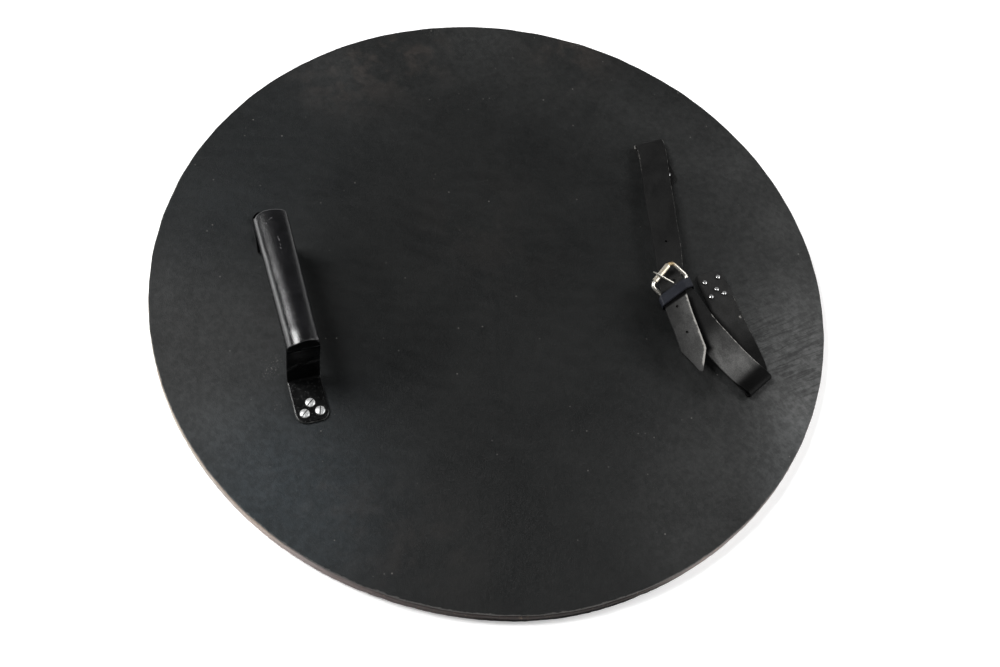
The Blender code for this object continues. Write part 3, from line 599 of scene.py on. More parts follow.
def buildBoard(look):
    # The profile goes out along the front, round both corners of the rim and back in along the top
    corner = np.linspace(0, quarter, 9)
    r, e, t = look["radius"], look["edgeRound"], look["thickness"]
    lowR, lowZ = r - e + e * np.sin(corner), e - e * np.cos(corner)
    side = np.linspace(e, t - e, 12)[1:-1]
    front = np.linspace(0, r - e, look["frontRows"])[:-1]
    back = np.linspace(r - e, 0, 14)[1:]
    radius = np.r_[front, lowR, 0 * side + r, lowR[::-1], back]
    height = np.r_[0 * front, lowZ, side, t - lowZ[::-1], 0 * back + t]
    inRim = ease((radius - (r - e - 1)) / 2)[:, None]

    def wear(points):  # outwards by two fine ripples and the bulge, less a few deeper chips
        x, y, z = (points[..., k] for k in range(3))
        angle = np.arctan2(y, x) * r
        fine = ripple(angle, z * 2, look["chipSize"], 11)
        broad = ripple(angle, z * 3, look["chipSize"] * 3.7, 12)
        rough = look["chips"] * (0.5 * fine + 0.5 * broad)
        chip = -0.35 * ease((ripple(angle, z, 23.0, 13) - 1.25) / 0.9)
        scale = 1 + inRim * (np.minimum(rough, 0.25) + chip + outOfRound(x, y, look["bulge"])) / r
        return joined(x * scale, y * scale, z)

    turn = np.degrees(np.linspace(0, 2 * np.pi, look["columns"] + 1))
    turn = np.where(turn > 180, turn - 360, turn)[None, :]
    outer = ease((radius - (r - 4)) / 3)[:, None]
    level = height[:, None]
    angles = [angle for angle, tone in look["rimTones"]]
    tones = np.array([tone for angle, tone in look["rimTones"]])
    values = {label: np.interp(turn, angles, tones[:, k]) for k, label in enumerate(rimChannels)}
    lipStrength = 0.35 + 0.65 * np.exp(-(((turn + 165) / 22.0) ** 4))
    values |= {
        "front": (1 - outer) * (level < 1),
        "lip": outer * ease((level - (t - 3.2)) / 2.2) * lipStrength,
        "shade": outer * ease((9.0 - level) / 3.0) * np.exp(-(((turn + 98) / 17.0) ** 4)) * 0.97,
    }
    shell = turnedShell(radius, height, look["columns"], values, wear)
    makePiece("shieldBoard", [shell], makeRimWood(look), "wood_rim", "wooden_board")


buildBoard(board)
print("board built")


facing = {
    "radius": 304.6, "thickness": 2.0, "base": 12.0, "edgeRound": 0.8, "columns": 560, "rows": 140,
    "bulge": (-99.0, 15.0, 1.6), "undulation": 0.16, "undulationSize": 95.0, "dimple": 0.09,
    "dimpleSize": 24.0, "raggedEdge": 0.12, "black": (0.0030, 0.0034, 0.0034),
    "worn": (0.0080, 0.0085, 0.0083), "warm": (0.034, 0.026, 0.022), "cool": (0.096, 0.127, 0.150),
    "haze": (0.130, 0.131, 0.130), "pale": (0.22, 0.21, 0.20), "grainSize": 640.0,
    # Places are x, y, radius and strength
    "warmPlaces": (
        (-2, 288, 42, 0.8), (163, 244, 36, 0.6), (-70, 265, 38, 0.7), (6, 61, 60, 0.12),
        (-205, -150, 45, 0.4), (-150, -215, 50, 0.25),
    ),
    # The next two lists are painted sheen: bluish, then pale grey, mostly near the rim
    "paintedBlueSheenPlaces": (
        (-132, 229, 85, 0.03), (-229, 132, 85, 0.05), (-240, -138, 80, 0.23), (-214, -208, 38, 0.05),
        (178, -246, 24, 0.05), (215, -214, 24, 0.06),
    ),
    "paintedSheenPlaces": (
        (265, 0, 85, 0.15), (229, 132, 85, 0.11), (133, 229, 85, 0.07), (0, 265, 85, 0.06),
        (133, -229, 85, 0.19), (260, -149, 70, 0.88), (280, 75, 42, 0.11), (75, 280, 42, 0.13),
        (-75, 280, 42, 0.12), (75, -280, 42, 0.09), (216, -214, 34, 0.34), (180, -248, 28, 0.26),
        (228, -192, 24, 0.34), (298, -5, 32, 0.13), (280, -75, 42, 0.09), (-268, 0, 80, 0.24),
        (-280, 75, 42, 0.11), (-280, -75, 42, 0.14),
    ),
    "scuffPlaces": (
        (-211, -25, 6, 1.0), (-216, -33, 5, 1.0), (-218, -66, 3, 0.8), (34, 299, 6, 0.9),
        (174, 249, 5, 0.9), (196, -41, 5, 0.7), (199, -63, 6, 0.7), (206, -84, 6, 0.8),
    ),
    "wrinklePlaces": (
        (215, -100, 26, 0.7), (232, -135, 34, 1.0), (262, -140, 30, 1.0), (255, -178, 26, 0.8),
        (240, -60, 24, 0.5),
    ),
    # Painted shade beside the grip and under the tongue, as start, end, width and depth
    "shadeLines": (
        ((-126, 68), (-126, -48), 30, 0.20), ((-95, 50), (-95, -40), 58, 0.27),
        ((142, -50), (139, -146), 13, 0.50), ((152, -152), (182, -166), 11, 0.40),
    ),
    "wrinkleTurn": -8.0, "creaseLine": ((83, -220), (36, -281), 1.6), "creaseDepth": 0.5,
    "roughness": 0.34,
}


def makeFacingLeather(look):
    material, place, attribute, shader = newMaterial("facingLeather", {"Specular IOR Level": 0.17})
    black, pale = rgba(look["black"]), rgba(look["pale"])
    tone = cloud(place, 11.0, 0.9, black, rgba(look["worn"]))
    blot = noise(place, 30.0, 6.0, 0.62, 0.15)
    mottle = noise(place, 190.0, 4.0, 0.62)
    patchy = ranged(blot * 0.6 + mottle * 0.4, 0.36, 0.62, 0.72, 1.0)
    brushed = noise(stretched(stretched(place, turn=66.0), (0.3, 1.0, 1.0)), 520.0, 4.0, 0.65, 0.4)
    patchy = patchy * ranged(brushed, 0.36, 0.62, 0.84, 1.05)
    base = mixed(attribute("warm") * ranged(blot, 0.44, 0.62, 0.0, 0.8), tone["Color"], rgba(look["warm"]))
    # Painted sheen: pale grey and bluish places, broken up by the patchy noise
    base = mixed(attribute("haze") * (patchy * 0.75), base, rgba(look["haze"]))
    base = mixed(attribute("cool") * (patchy * 0.8), base, rgba(look["cool"]))
    base = mixed(ranged(mottle, 0.38, 0.62, 0.24, 0.0), base, black)
    # Wrinkles: long noise, turned to run out towards the rim, where the wrinkle mask is set
    turned = stretched(place, turn=look["wrinkleTurn"])
    folds = noise(stretched(turned, (0.11, 1.0, 1.0)), 350.0, 4.0, 0.6, 0.45)
    wrinkled = attribute("wrinkled")
    # Painted shade: the hollows of the wrinkles are darkened towards black
    base = mixed(ranged(folds, 0.54, 0.4, 0.0, 0.44) * wrinkled, base, black)
    rubbed = attribute("scuffed") * ranged(noise(place, 760.0, 3.0, 0.6), 0.6, 0.68)
    base = mixed(scratched(place, 34.0, 0.25) * 0.08, base, pale)
    base = mixed(specked(place, 330.0, 0.012) * 0.5, base, pale)
    base = mixed(rubbed * 0.75, base, pale)
    base = mixed(wornAway(attribute("edge"), place, 260.0, 0.4) * 0.35, base, pale)
    grain = placed(grainGroup, Vector=place, Size=look["grainSize"])
    rough = tone["Mask"] * 0.1 + blot * 0.16 + grain["Pits"] * 0.1 + look["roughness"]
    normal = bumped(noise(place, 26.0, 4.0, 0.6, 0.4), 0.35, 1.2)
    normal = bumped(mottle, 0.55, 0.5, normal)
    normal = bumped(folds * wrinkled, 0.8, 1.0, normal)
    normal = bumped(grain["Height"], 0.55, 0.25, normal)
    # The soft shade beside the fittings is painted on, and no lamp moves it: Metallic over a near-black base
    # takes away the plain gloss
    finish(shader, base, rough, normal, attribute("shaded"))
    return material


def buildFacing(look):
    # The profile goes out along the top, over the round edge and back in underneath
    corner = np.linspace(0, quarter, 7)
    r, e, base, t = look["radius"], look["edgeRound"], look["base"], look["thickness"]
    top = base + t
    flat = np.linspace(0, r - e, look["rows"])[:-1]
    under = np.linspace(r - 0.2, 0, 12)
    radius = np.r_[flat, r - e + e * np.sin(corner), r, under]
    height = np.r_[0 * flat + top, top - e + e * np.cos(corner), base + 0.2, 0 * under + base]
    upper = (height > base + 0.5)[:, None] & (radius < r - 0.1)[:, None]

    def settle(points):
        # Outwards by a ragged ripple at the edge and the bulge; upwards by two broad ripples, less the crease
        x, y, z = (points[..., k] for k in range(3))
        past = np.hypot(x, y) - r
        ragged = look["raggedEdge"] * ripple(np.arctan2(y, x) * r, 0 * x, 31.0, 21) * ease((past + 6) / 6)
        bulge = ease((past + 60) / 60) * outOfRound(x, y, look["bulge"])
        scale = 1 + (np.minimum(ragged, 0.3) + bulge) / r
        swell = look["undulation"] * ripple(x, y, look["undulationSize"], 22)
        swell = swell + look["dimple"] * ripple(x, y, look["dimpleSize"], 23)
        crease = look["creaseDepth"] * stroke(x, y, *look["creaseLine"])
        return joined(x * scale, y * scale, z + upper * (np.clip(swell, -0.5, 0.16) - crease))

    turn = np.linspace(0, 2 * np.pi, look["columns"] + 1)
    x, y = radius[:, None] * np.cos(turn), radius[:, None] * np.sin(turn)
    places = {
        "warm": "warmPlaces", "cool": "paintedBlueSheenPlaces", "haze": "paintedSheenPlaces", "scuffed": "scuffPlaces",
        "wrinkled": "wrinklePlaces",
    }
    values = {label: spots(x, y, look[key]) for label, key in places.items()}
    values["edge"] = (np.exp(-(r - radius) / 1.6) * (height > base + 0.1))[:, None]
    shades = (depth * stroke(x, y, start, end, width) for start, end, width, depth in look["shadeLines"])
    values["shaded"] = sum(shades)
    shell = turnedShell(radius, height, look["columns"], values, settle)
    makePiece("backLeather", [shell], makeFacingLeather(look), "facing_leather", "back_leather")


buildFacing(facing)
print("facing built")


grip = {
    "centre": (-186.6, 19.6), "turn": -2.3, "length": 134.0, "barTop": 72.0, "deck": 14.3,
    "farAside": 2.4, "farSplay": 0.06, "sleeveBottom": 66.0,
}


def toGrip(points):
    # Turned by the grip's angle and moved to its centre
    turn = math.radians(grip["turn"])
    x, y, z = (points[..., k] for k in range(3))
    middleX, middleY = grip["centre"]
    return joined(
        middleX + x * math.cos(turn) - y * math.sin(turn),
        middleY + x * math.sin(turn) + y * math.cos(turn), z,
    )


def farAside(y, z):
    # How far the far riser leans to the right on its way down, and its foot in every unit of its length
    top = grip["sleeveBottom"] - 2
    down = np.clip((top - z) / (top - grip["deck"] + 0.3), 0.0, 1.0)
    splay = grip["farSplay"] * np.maximum(0.0, y - grip["length"] / 2)
    return np.where(y > 0, grip["farAside"] * down + splay, 0.0)


bracket = {
    "width": 28.5, "thickness": 3.0, "foot": 41.0, "bend": 4.5, "footBend": 3.6, "footCorner": 9.0,
    "riserBow": 1.2, "barHalf": 11.3, "columns": 34, "holeCells": 2, "edgeRound": 0.75,
    "unevenness": 0.012, "unevenSize": 22.0, "seed": 31, "edgeWear": 0.9,
    "paint": (0.0014, 0.0016, 0.0017), "thinPaint": (0.003, 0.0032, 0.0034), "dustAndCreaseHighlight": (0.10, 0.10, 0.10),
    "bareSteelAndEdgeHighlight": (0.26, 0.26, 0.25), "roughness": 0.24,
    # Creases as start and end in the strap's own along and across millimetres, and a width
    "creases": (((61.5, -13.0), (68.0, -3.0), 1.6), ((66.0, 3.0), (69.0, 13.0), 1.5)),
}


def makeBlackSteel(look):
    constants = {"Specular IOR Level": 0.36, "Coat Roughness": 0.12}
    material, place, attribute, shader = newMaterial("blackSteel", constants)
    tone = cloud(place, 60.0, 0.8, rgba(look["paint"]), rgba(look["thinPaint"]))
    # Pale edges of the near foot: chipped paint, and a painted highlight most on its left edge
    chipsAndEdgeHighlight = wornAway(attribute("edge") * attribute("exposed"), place, 210.0, 0.42)
    bare = maths("MAXIMUM", chipsAndEdgeHighlight * 0.6, scratched(place, 70.0, 0.3) * 0.1)
    crease = attribute("crease") * ranged(noise(place, 120.0, 4.0, 0.6), 0.35, 0.6)
    film = ranged(noise(place, 420.0, 4.0, 0.7), 0.52, 0.75, 0.0, 0.35)
    dustAndCreaseHighlight = maths("MAXIMUM", specked(place, 680.0, 0.16), film)
    base = mixed(dustAndCreaseHighlight * attribute("dusty"), tone["Color"], rgba(look["dustAndCreaseHighlight"]))
    # Painted highlight: the creases are lightened towards the same pale grey as the dust
    base = mixed(crease * 0.24, base, rgba(look["dustAndCreaseHighlight"]))
    base = mixed(bare, base, rgba(look["bareSteelAndEdgeHighlight"]))
    rough = tone["Mask"] * 0.12 + bare * 0.2 + look["roughness"]
    linked(ranged(tone["Mask"], 0.0, 1.0, 0.15, 0.0), shader.inputs["Coat Weight"])
    normal = bumped(noise(place, 75.0, 3.0, 0.5), 0.3, 0.7)
    normal = bumped(crease, 0.8, 0.6, normal)
    normal = bumped(noise(place, 900.0, 3.0, 0.6), 0.14, 0.08, normal)
    # The paint is no bare metal: Metallic only takes its gloss down, most from the near bend on, where it is
    # painted shade
    finish(shader, base, rough, normal, maths("MAXIMUM", bare * 0.7, attribute("shaded") * 0.5 + 0.46))
    return material


def bracketPath(look):
    # Foot, lower bend, bowed riser and upper bend as line, arcs and a bow, mirrored at mid-bar
    middle = (grip["length"] - look["thickness"]) / 2
    low, high = grip["deck"] + look["thickness"] / 2, grip["barTop"] - look["thickness"] / 2
    footBend, topBend = look["footBend"], look["bend"] - look["thickness"] / 2
    end = grip["length"] / 2 + look["foot"]
    bottom, top = low + footBend, high - topBend
    arc, rise = np.linspace(0, quarter, 14), np.linspace(0, 1, 40)[1:]
    foot = np.linspace(-end, -middle - footBend, 30)[:-1]
    bar = np.linspace(-middle + topBend, 0, 30)[1:]
    y = np.r_[
        foot, -middle - footBend * (1 - np.sin(arc)),
        -middle + look["riserBow"] * (1 - np.abs(2 * rise - 1) ** 1.6),
        -middle + topBend * (1 - np.cos(arc[1:])), bar,
    ]
    z = np.r_[
        0 * foot + low, low + footBend * (1 - np.cos(arc)), bottom + (top - bottom) * rise,
        top + topBend * np.sin(arc[1:]), 0 * bar + high,
    ]
    return joined(np.r_[y, -y[-2::-1]], np.r_[z, z[-2::-1]])


def buildBracket(look):
    # A flat band along the path, with round corners at both feet and a narrower bar in the sleeve
    path = bracketPath(look)
    length = lengthAlong(path)
    along = np.linspace(0, length[-1], 400)
    y, z = readOff(path, length, along).T
    middle = toGrip(joined(farAside(y, z), y, z))
    right = np.tile(toGrip(np.array([1.0, 0, 0])) - toGrip(np.zeros(3)), (len(along), 1))
    fromEnd = np.minimum(along, along[-1] - along)
    half = roundEnd(fromEnd, look["width"] / 2, look["footCorner"])
    inSleeve = ease((62.7 - np.abs(y)) / 0.6) * (z > grip["barTop"] - 4)
    half = half * (1 - inSleeve) + look["barHalf"] * inSleeve

    # Chipped paint and a painted highlight, most at the near foot's left edge
    def exposed(s, t):  # the near foot: most at its left edge, and at its end
        return ease((46 - s) / 6) * np.maximum(np.where(t < 0, 0.95, 0.62), 0.8 * ease((14 - s) / 6))

    values = {
        "crease": lambda s, t: np.clip(sum(stroke(s, t, *place) for place in look["creases"]), 0, 1),
        "dusty": lambda s, t: ease((46 - s) / 8),
        "shaded": lambda s, t: ease((s - 84) / 5),
        "exposed": exposed,
    }
    shell = slabShell(along, middle, right, half, look, values)
    makePiece("gripBracket", [shell], makeBlackSteel(look), "black_steel", "grip_bracket")


sleeve = {
    "halfWidth": (13.9, 14.9), "crown": (85.0, 81.5), "side": 75.0, "bottom": 66.0, "corner": 2.0,
    "coreHalf": 11.6, "passage": (68.7, 72.3), "openFrom": 62.2, "rows": 220, "columns": 120,
    "endRound": (1.0, 2.4), "waviness": 0.03,
    # Reach and slope; place, width and height; the trim at the crown, the left and the right
    "nearDroop": (13.0, 0.105), "nearLip": (-0.50, 0.50, 1.5), "farCut": (0.6, 4.6, 1.6),
    "leather": (0.0030, 0.0031, 0.0034), "rubbed": (0.0080, 0.0080, 0.0088),
    "scratch": (0.26, 0.25, 0.26), "underside": (0.002, 0.002, 0.002), "roughness": 0.13,
    # Scratches, and one painted glint, as start and end in the sleeve's own along and around millimetres, and
    # a width
    "scratchesAndGlint": (
        ((36.6, 1.0), (31.0, 1.9), 0.34), ((31.0, 1.9), (25.5, 1.2), 0.30),
        ((25.5, 1.2), (18.8, 1.7), 0.32), ((55.5, -2.0), (56.2, 0.2), 0.45),
        ((53.0, -6.0), (52.0, -5.0), 0.30), ((60.0, -8.0), (61.0, -6.6), 0.25),
        # The last one is a painted glint at the near right corner
        ((-66.0, 14.6), (-63.8, 14.0), 1.7),
    ),
}


def makeSleeveLeather(look):
    constants = {"Specular IOR Level": 0.5, "Coat Roughness": 0.16}
    material, place, attribute, shader = newMaterial("sleeveLeather", constants)
    tone = cloud(place, 55.0, 0.9, rgba(look["leather"]), rgba(look["rubbed"]))
    cutEnd = attribute("cutEnd")
    # Pale scratch marks, and a painted glint at the near right corner
    cut = attribute("scratch") * ranged(noise(place, 900.0, 2.0, 0.6), 0.52, 0.62)
    base = mixed(scratched(place, 110.0, 0.35) * 0.1, tone["Color"], rgba(look["scratch"]))
    base = mixed(cut * 0.65, base, rgba(look["scratch"]))
    base = mixed(cutEnd, base, rgba(look["underside"]))
    grain = placed(grainGroup, Vector=place, Size=980.0)
    rough = tone["Mask"] * 0.06 + grain["Pits"] * 0.08 + cutEnd * 0.5 + look["roughness"]
    linked(ranged(tone["Mask"], 0.0, 1.0, 0.2, 0.0), shader.inputs["Coat Weight"])
    normal = bumped(noise(place, 95.0, 3.0, 0.5), 0.06, 0.6)
    normal = bumped(grain["Height"], 0.28, 0.1, normal)
    # Painted shade: the cut end is near black, and Metallic takes away its gloss
    finish(shader, base, rough, normal, cutEnd)
    return material


def sleeveSection(look, width, crown):
    # Crown, left side, small corner, flat underside, corner and right side, for every row at once
    c, base, side = look["corner"], look["bottom"], look["side"]
    turn = np.linspace(0, np.pi, look["columns"])[None, :]
    arc = np.linspace(0, quarter, 9)
    cornerX, cornerZ = -(width - c) - c * np.sin(arc)[::-1], base + c - c * np.cos(arc)[::-1] + 0 * width
    flatX = np.linspace(-1, 1, 17)[None, 1:-1]
    tall = side - base - c
    roofShare = (look["passage"][1] - base - c) / tall
    rise = np.sort(np.r_[np.linspace(0, 1, 9)[1:-1], roofShare])[None, :]
    x = [
        width * np.cos(turn), -width + 0 * rise, cornerX, (width - c) * flatX, -cornerX[:, ::-1],
        width + 0 * rise, width,
    ]
    z = [
        side + (crown - side) * np.sin(turn), side - tall * rise + 0 * width, cornerZ,
        base + 0 * width * flatX,
        cornerZ[:, ::-1], base + c + tall * rise + 0 * width, side + 0 * width,
    ]
    return np.concatenate(x, axis=1), np.concatenate(z, axis=1)


def buildSleeve(look):
    # D-shaped outline: a flat underside with small round corners, upright sides and an elliptical crown,
    # carried along the bar
    end = grip["length"] / 2
    steps = [-look["openFrom"], look["openFrom"], look["openFrom"] - 0.05, 0.05 - look["openFrom"]]
    y = np.sort(np.r_[np.linspace(-end, end, look["rows"]), steps])[:, None]
    share = (y + end) / (2 * end)
    nearWidth, farWidth = look["halfWidth"]
    nearCrown, farCrown = look["crown"]
    width = nearWidth + share * (farWidth - nearWidth)
    x, z = sleeveSection(look, width, nearCrown + share * (farCrown - nearCrown))
    low, roof = look["passage"]
    side = look["side"]
    # The ends' outer edge is rounded over, and the leather is a little uneven
    fromEnd = end - np.abs(y)
    rounding = np.where(y < 0, look["endRound"][0], look["endRound"][1])
    reached = np.clip(rounding - fromEnd, 0, rounding)
    inset = rounding - np.sqrt(np.maximum(rounding**2 - reached**2, 0))
    stepX, stepZ = (np.diff(line, axis=1, prepend=line[:, :1]) for line in (x, z))
    around = np.cumsum(np.hypot(stepX, stepZ), axis=1)
    high = ease((z - roof) / 2)
    wave = look["waviness"] * ripple(y + 0 * x, x * 1.3 + z, 34.0, 41) * ease(fromEnd / 4) * high
    # The near end bends down: a straight fall, begun over four millimetres by a square
    reach, slope = look["nearDroop"]
    bent = np.clip(reach - (y + end), 0, reach)
    droop = slope * np.where(bent < 4, bent**2 / 8, bent - 2)
    outX = x * (1 - high * inset / width) + wave * x / width
    outZ = z - inset * high * ease((z - side + 4) / 6) + wave - droop * high * ease((z - side + 2) / 5)
    # The far end is trimmed back at the crown, and more towards its two corners
    crownCut, leftCut, rightCut = look["farCut"]
    trim = crownCut + np.where(x < 0, leftCut, rightCut) * np.clip(np.abs(x) / width, 0, 1) ** 3
    lipAt, lipWide, lipOut = look["nearLip"]
    lip = lipOut * bell((x / width - lipAt) / lipWide) * ease((z - side) / 4)
    y = y - trim * ease((y - end + 14) / 14) - lip * ease((14 - y - end) / 14)
    outer = toGrip(joined(outX, y, outZ))
    # Inside: the bar's passage, and under each crown end a flat roof over the bend
    across = np.clip(x / width, -1, 1)
    inX = np.where((z > roof) | (z < low), across, np.sign(x)) * look["coreHalf"]
    inZ = np.clip(z, low, roof)
    pastBend = end - fromEnd > look["openFrom"] - 0.01
    inX = np.where(pastBend, across * (width - 0.9), inX)
    inZ = np.where(pastBend, roof, inZ)
    inner = toGrip(joined(inX, y, inZ))
    overBar = end - (fromEnd[:-1] + fromEnd[1:]) / 2 < look["openFrom"]
    keep = overBar | ((z[:-1, :-1] > roof - 0.01) & (z[:-1, 1:] > roof - 0.01))
    fromCrown = around - around[:, [look["columns"] // 2]]
    scratch = sum(stroke(y, -fromCrown, *place) for place in look["scratchesAndGlint"])
    values = {"cutEnd": ease((0.35 - fromEnd) / 0.3), "scratch": np.clip(scratch, 0, 1)}
    shell = sheetShell(outer, inner, keep, joined(y, around) * mm, values, closedColumns=True)
    makePiece("gripSleeve", [shell], makeSleeveLeather(look), "sleeve_leather", "grip_sleeve")


screws = {
    "headRadius": 4.5, "headHeight": 2.0, "shankRadius": 2.0, "tip": 5.5, "seat": 17.6, "slotWidth": 0.8,
    "slotDepth": 1.1, "fromRiser": (24.0, 33.0), "pairHalf": 6.6,
    "slotTurns": (38.0, 42.0, 72.0, 50.0, 110.0, 5.0), "cells": 44, "steel": (0.84, 0.85, 0.85),
    "dirt": (0.030, 0.030, 0.028), "roughness": 0.42, "metal": 0.55,
}


def makeScrewSteel(name, look):
    material, place, attribute, shader = newMaterial(name, {"Specular IOR Level": 0.5})
    steel = look["steel"]
    tone = cloud(place, 420.0, 1.3, rgba(steel, 0.5), rgba(steel))
    hammered = noise(stretched(place, (1.0, 0.5, 1.0), -40.0), 1300.0, 2.0, 0.5)
    worked = ranged(hammered, 0.54, 0.44, 0.0, 0.62)
    base = mixed(worked, tone["Color"], rgba(steel, 0.4))
    base = mixed(scratched(place, 900.0, 1.0) * 0.6, base, rgba(steel, 0.35))
    # Darker, rougher and less metallic in the slot and round the edge of the head
    dirt = wornAway(attribute("dirt"), place, 900.0, 0.55)
    base = mixed(dirt, base, rgba(look["dirt"]))
    roughness = dirt * 0.4 - tone["Mask"] * 0.08 + look["roughness"]
    normal = bumped(noise(place, 700.0, 3.0, 0.6), 0.5, 0.14)
    finish(shader, base, roughness, normal, (1.0 - dirt) * look["metal"])
    return material


def headShell(look, turn):
    # A dome over a round plan, in rows across the slot; inside the slot the dome is cut down to its floor
    r, half, rim, slotWall = look["headRadius"], look["slotWidth"] / 2, 0.5, 0.07
    crowded = np.sin(np.linspace(-quarter, quarter, look["cells"]))
    rows = np.sort(np.r_[r * crowded, -half - slotWall, -half, half, half + slotWall])[:, None]
    x = np.sqrt(np.maximum(r * r - rows**2, 0.0)) * crowded[None, :]
    far = np.clip(np.hypot(x, rows) / r, 0, 1)
    dome = rim + (look["headHeight"] - rim) * np.sqrt(1 - far**2)
    inSlot = 1 - np.clip((np.abs(rows) - half) / slotWall, 0, 1)
    cut = inSlot * np.maximum(0.0, dome - (look["headHeight"] - look["slotDepth"]))
    top = joined(x, rows, look["seat"] + dome - cut)
    low = joined(x * 0.96, rows * 0.96, look["seat"])
    c, s = math.cos(math.radians(turn)), math.sin(math.radians(turn))
    spin = np.array([[c, s, 0], [-s, c, 0], [0, 0, 1]])
    keep = np.ones((len(rows) - 1, x.shape[1] - 1), bool)
    # Darker in the slot and round the edge of the head
    dirt = np.clip(inSlot * (cut > 0.05) + ease((far - 0.80) / 0.14) * 0.85, 0, 1)
    return sheetShell(top @ spin, low @ spin, keep, joined(x, rows) * mm, {"dirt": dirt})


def threadedShank(look, columns):
    # Radius falls to nothing at the tip, and a shallow sawtooth along it stands for the thread
    tip, seat, pitch = look["tip"], look["seat"], 1.4
    z = np.linspace(tip, seat + 0.1, 60)
    thread = 0.22 * np.abs((z / pitch) % 1 - 0.5) * (z < seat - 2.5)
    radius = look["shankRadius"] * ease((z - tip) / 2.6 + 0.05) - thread
    return turnedShell(np.r_[0, np.maximum(radius, 0.1), 0], np.r_[z[0], z, z[-1]], columns)


def buildScrews(look):
    # A slotted head over a threaded shank, at every place of the plan
    material = makeScrewSteel("screwSteel", look)
    first, second = (grip["length"] / 2 + reach for reach in look["fromRiser"])
    half = look["pairHalf"]
    plan = [(0.0, -first), (-half, -second), (half, -second), (0.0, first), (-half, second), (half, second)]
    for count, ((x, y), turn) in enumerate(zip(plan, look["slotTurns"]), 1):
        spot = toGrip(np.array([x + float(farAside(np.array(y), grip["deck"] - 0.3)), y, 0.0]))
        shells = [headShell(look, turn + grip["turn"]), threadedShank(look, 20)]
        for shell in shells:
            shell["points"] = shell["points"] + spot
        makePiece(f"gripScrew{count}", shells, material, "screw_steel", f"grip_screw_{count}")


buildBracket(bracket)
buildSleeve(sleeve)
buildScrews(screws)
print("grip built")


# The buckle's own frame: x along the hinge bar, y towards the roller
buckle = {
    "centre": (149.5, -46.6, 34.0), "yaw": 36.0, "pitch": 17.0, "roll": 8.0, "halfWidth": 15.4,
    "halfLength": 10.5, "corner": 4.5, "wire": 1.7, "rollerRadius": 2.7, "rollerHalf": 10.2,
    "prongWire": 1.0, "prongOffset": 1.7, "prongSwing": 15.0, "prongReach": 8.2, "gap": 0.3,
    "nickel": (0.74, 0.72, 0.66), "tarnish": (0.34, 0.25, 0.13), "brightLine": (0.85, 0.84, 0.8),
    "roughness": 0.3,
}


def turnMatrix(degrees, axis):
    return np.array(Matrix.Rotation(math.radians(degrees), 3, axis))


buckleAxes = turnMatrix(buckle["yaw"], "Z") @ turnMatrix(buckle["pitch"], "X")
buckleAxes = buckleAxes @ turnMatrix(-buckle["roll"], "Y")


def fromBuckle(points):
    # The buckle's three directions times the point's own coordinates, from its centre
    return np.array(buckle["centre"]) + points @ buckleAxes.T


def makeNickel(look):
    material, place, attribute, shader = newMaterial("buckleNickel", {"Specular IOR Level": 0.5})
    tone = cloud(place, 110.0, 1.2, rgba(look["nickel"], 0.8), rgba(look["nickel"]))
    aged = attribute("aged") * ranged(noise(place, 190.0, 4.0, 0.6), 0.35, 0.6, 0.35, 1.0)
    base = mixed(aged, tone["Color"], rgba(look["tarnish"]))
    base = mixed(scratched(place, 420.0, 0.6) * 0.35, base, rgba(look["brightLine"]))
    rough = aged * 0.22 - tone["Mask"] * 0.06 + look["roughness"]
    normal = bumped(noise(place, 420.0, 3.0, 0.55), 0.18, 0.12)
    finish(shader, base, rough, normal, ranged(aged, 0.0, 1.0, 0.8, 0.65))
    return material


def roundedLoop(x, y, c, steps):
    # Four quarter circles of the corner's radius, joined by the straight sides
    arc = np.linspace(0, quarter, steps)
    turn = np.concatenate([arc + k * quarter for k in range(4)])
    middleX = np.repeat([x - c, c - x, c - x, x - c], steps)
    middleY = np.repeat([y - c, y - c, c - y, c - y], steps)
    return joined(middleX + c * np.cos(turn), middleY + c * np.sin(turn), 0.0)


def spacedLoop(path, step):  # points at equal distances round a closed line
    ring = np.vstack([path, path[:1]])
    along = lengthAlong(ring)
    return readOff(ring, along, np.linspace(0, along[-1], round(along[-1] / step) + 1)[:-1])


def prongPath(look):
    # A hook round the hinge bar, then a straight reach that climbs over the roller and dips at the tip
    swing = math.radians(look["prongSwing"])
    hook = look["wire"] + look["gap"] + look["prongWire"]
    over = look["rollerRadius"] + look["gap"] + look["prongWire"]
    a = np.radians(np.linspace(-60, 100, 26))
    span, tip = 2 * look["halfLength"], look["prongReach"]
    share = np.linspace(0.12, 1.0, 24)
    reach = np.r_[-hook * np.cos(a), share * span, span + tip * 0.6, span + tip]
    height = np.r_[hook * np.sin(a), hook + share * (over - hook), over + 0.1, over - 0.4]
    path = joined(
        look["prongOffset"] - reach * math.sin(swing), -look["halfLength"] + reach * math.cos(swing),
        height,
    )
    along = lengthAlong(path)
    even = np.linspace(0, along[-1], 90)
    return even, readOff(path, along, even)


def makeBucklePiece(name, shell, material, stand):  # from the buckle's own directions to the shield's
    shell["points"] = fromBuckle(shell["points"])
    makePiece(name, [shell], material, "buckle_nickel", stand)


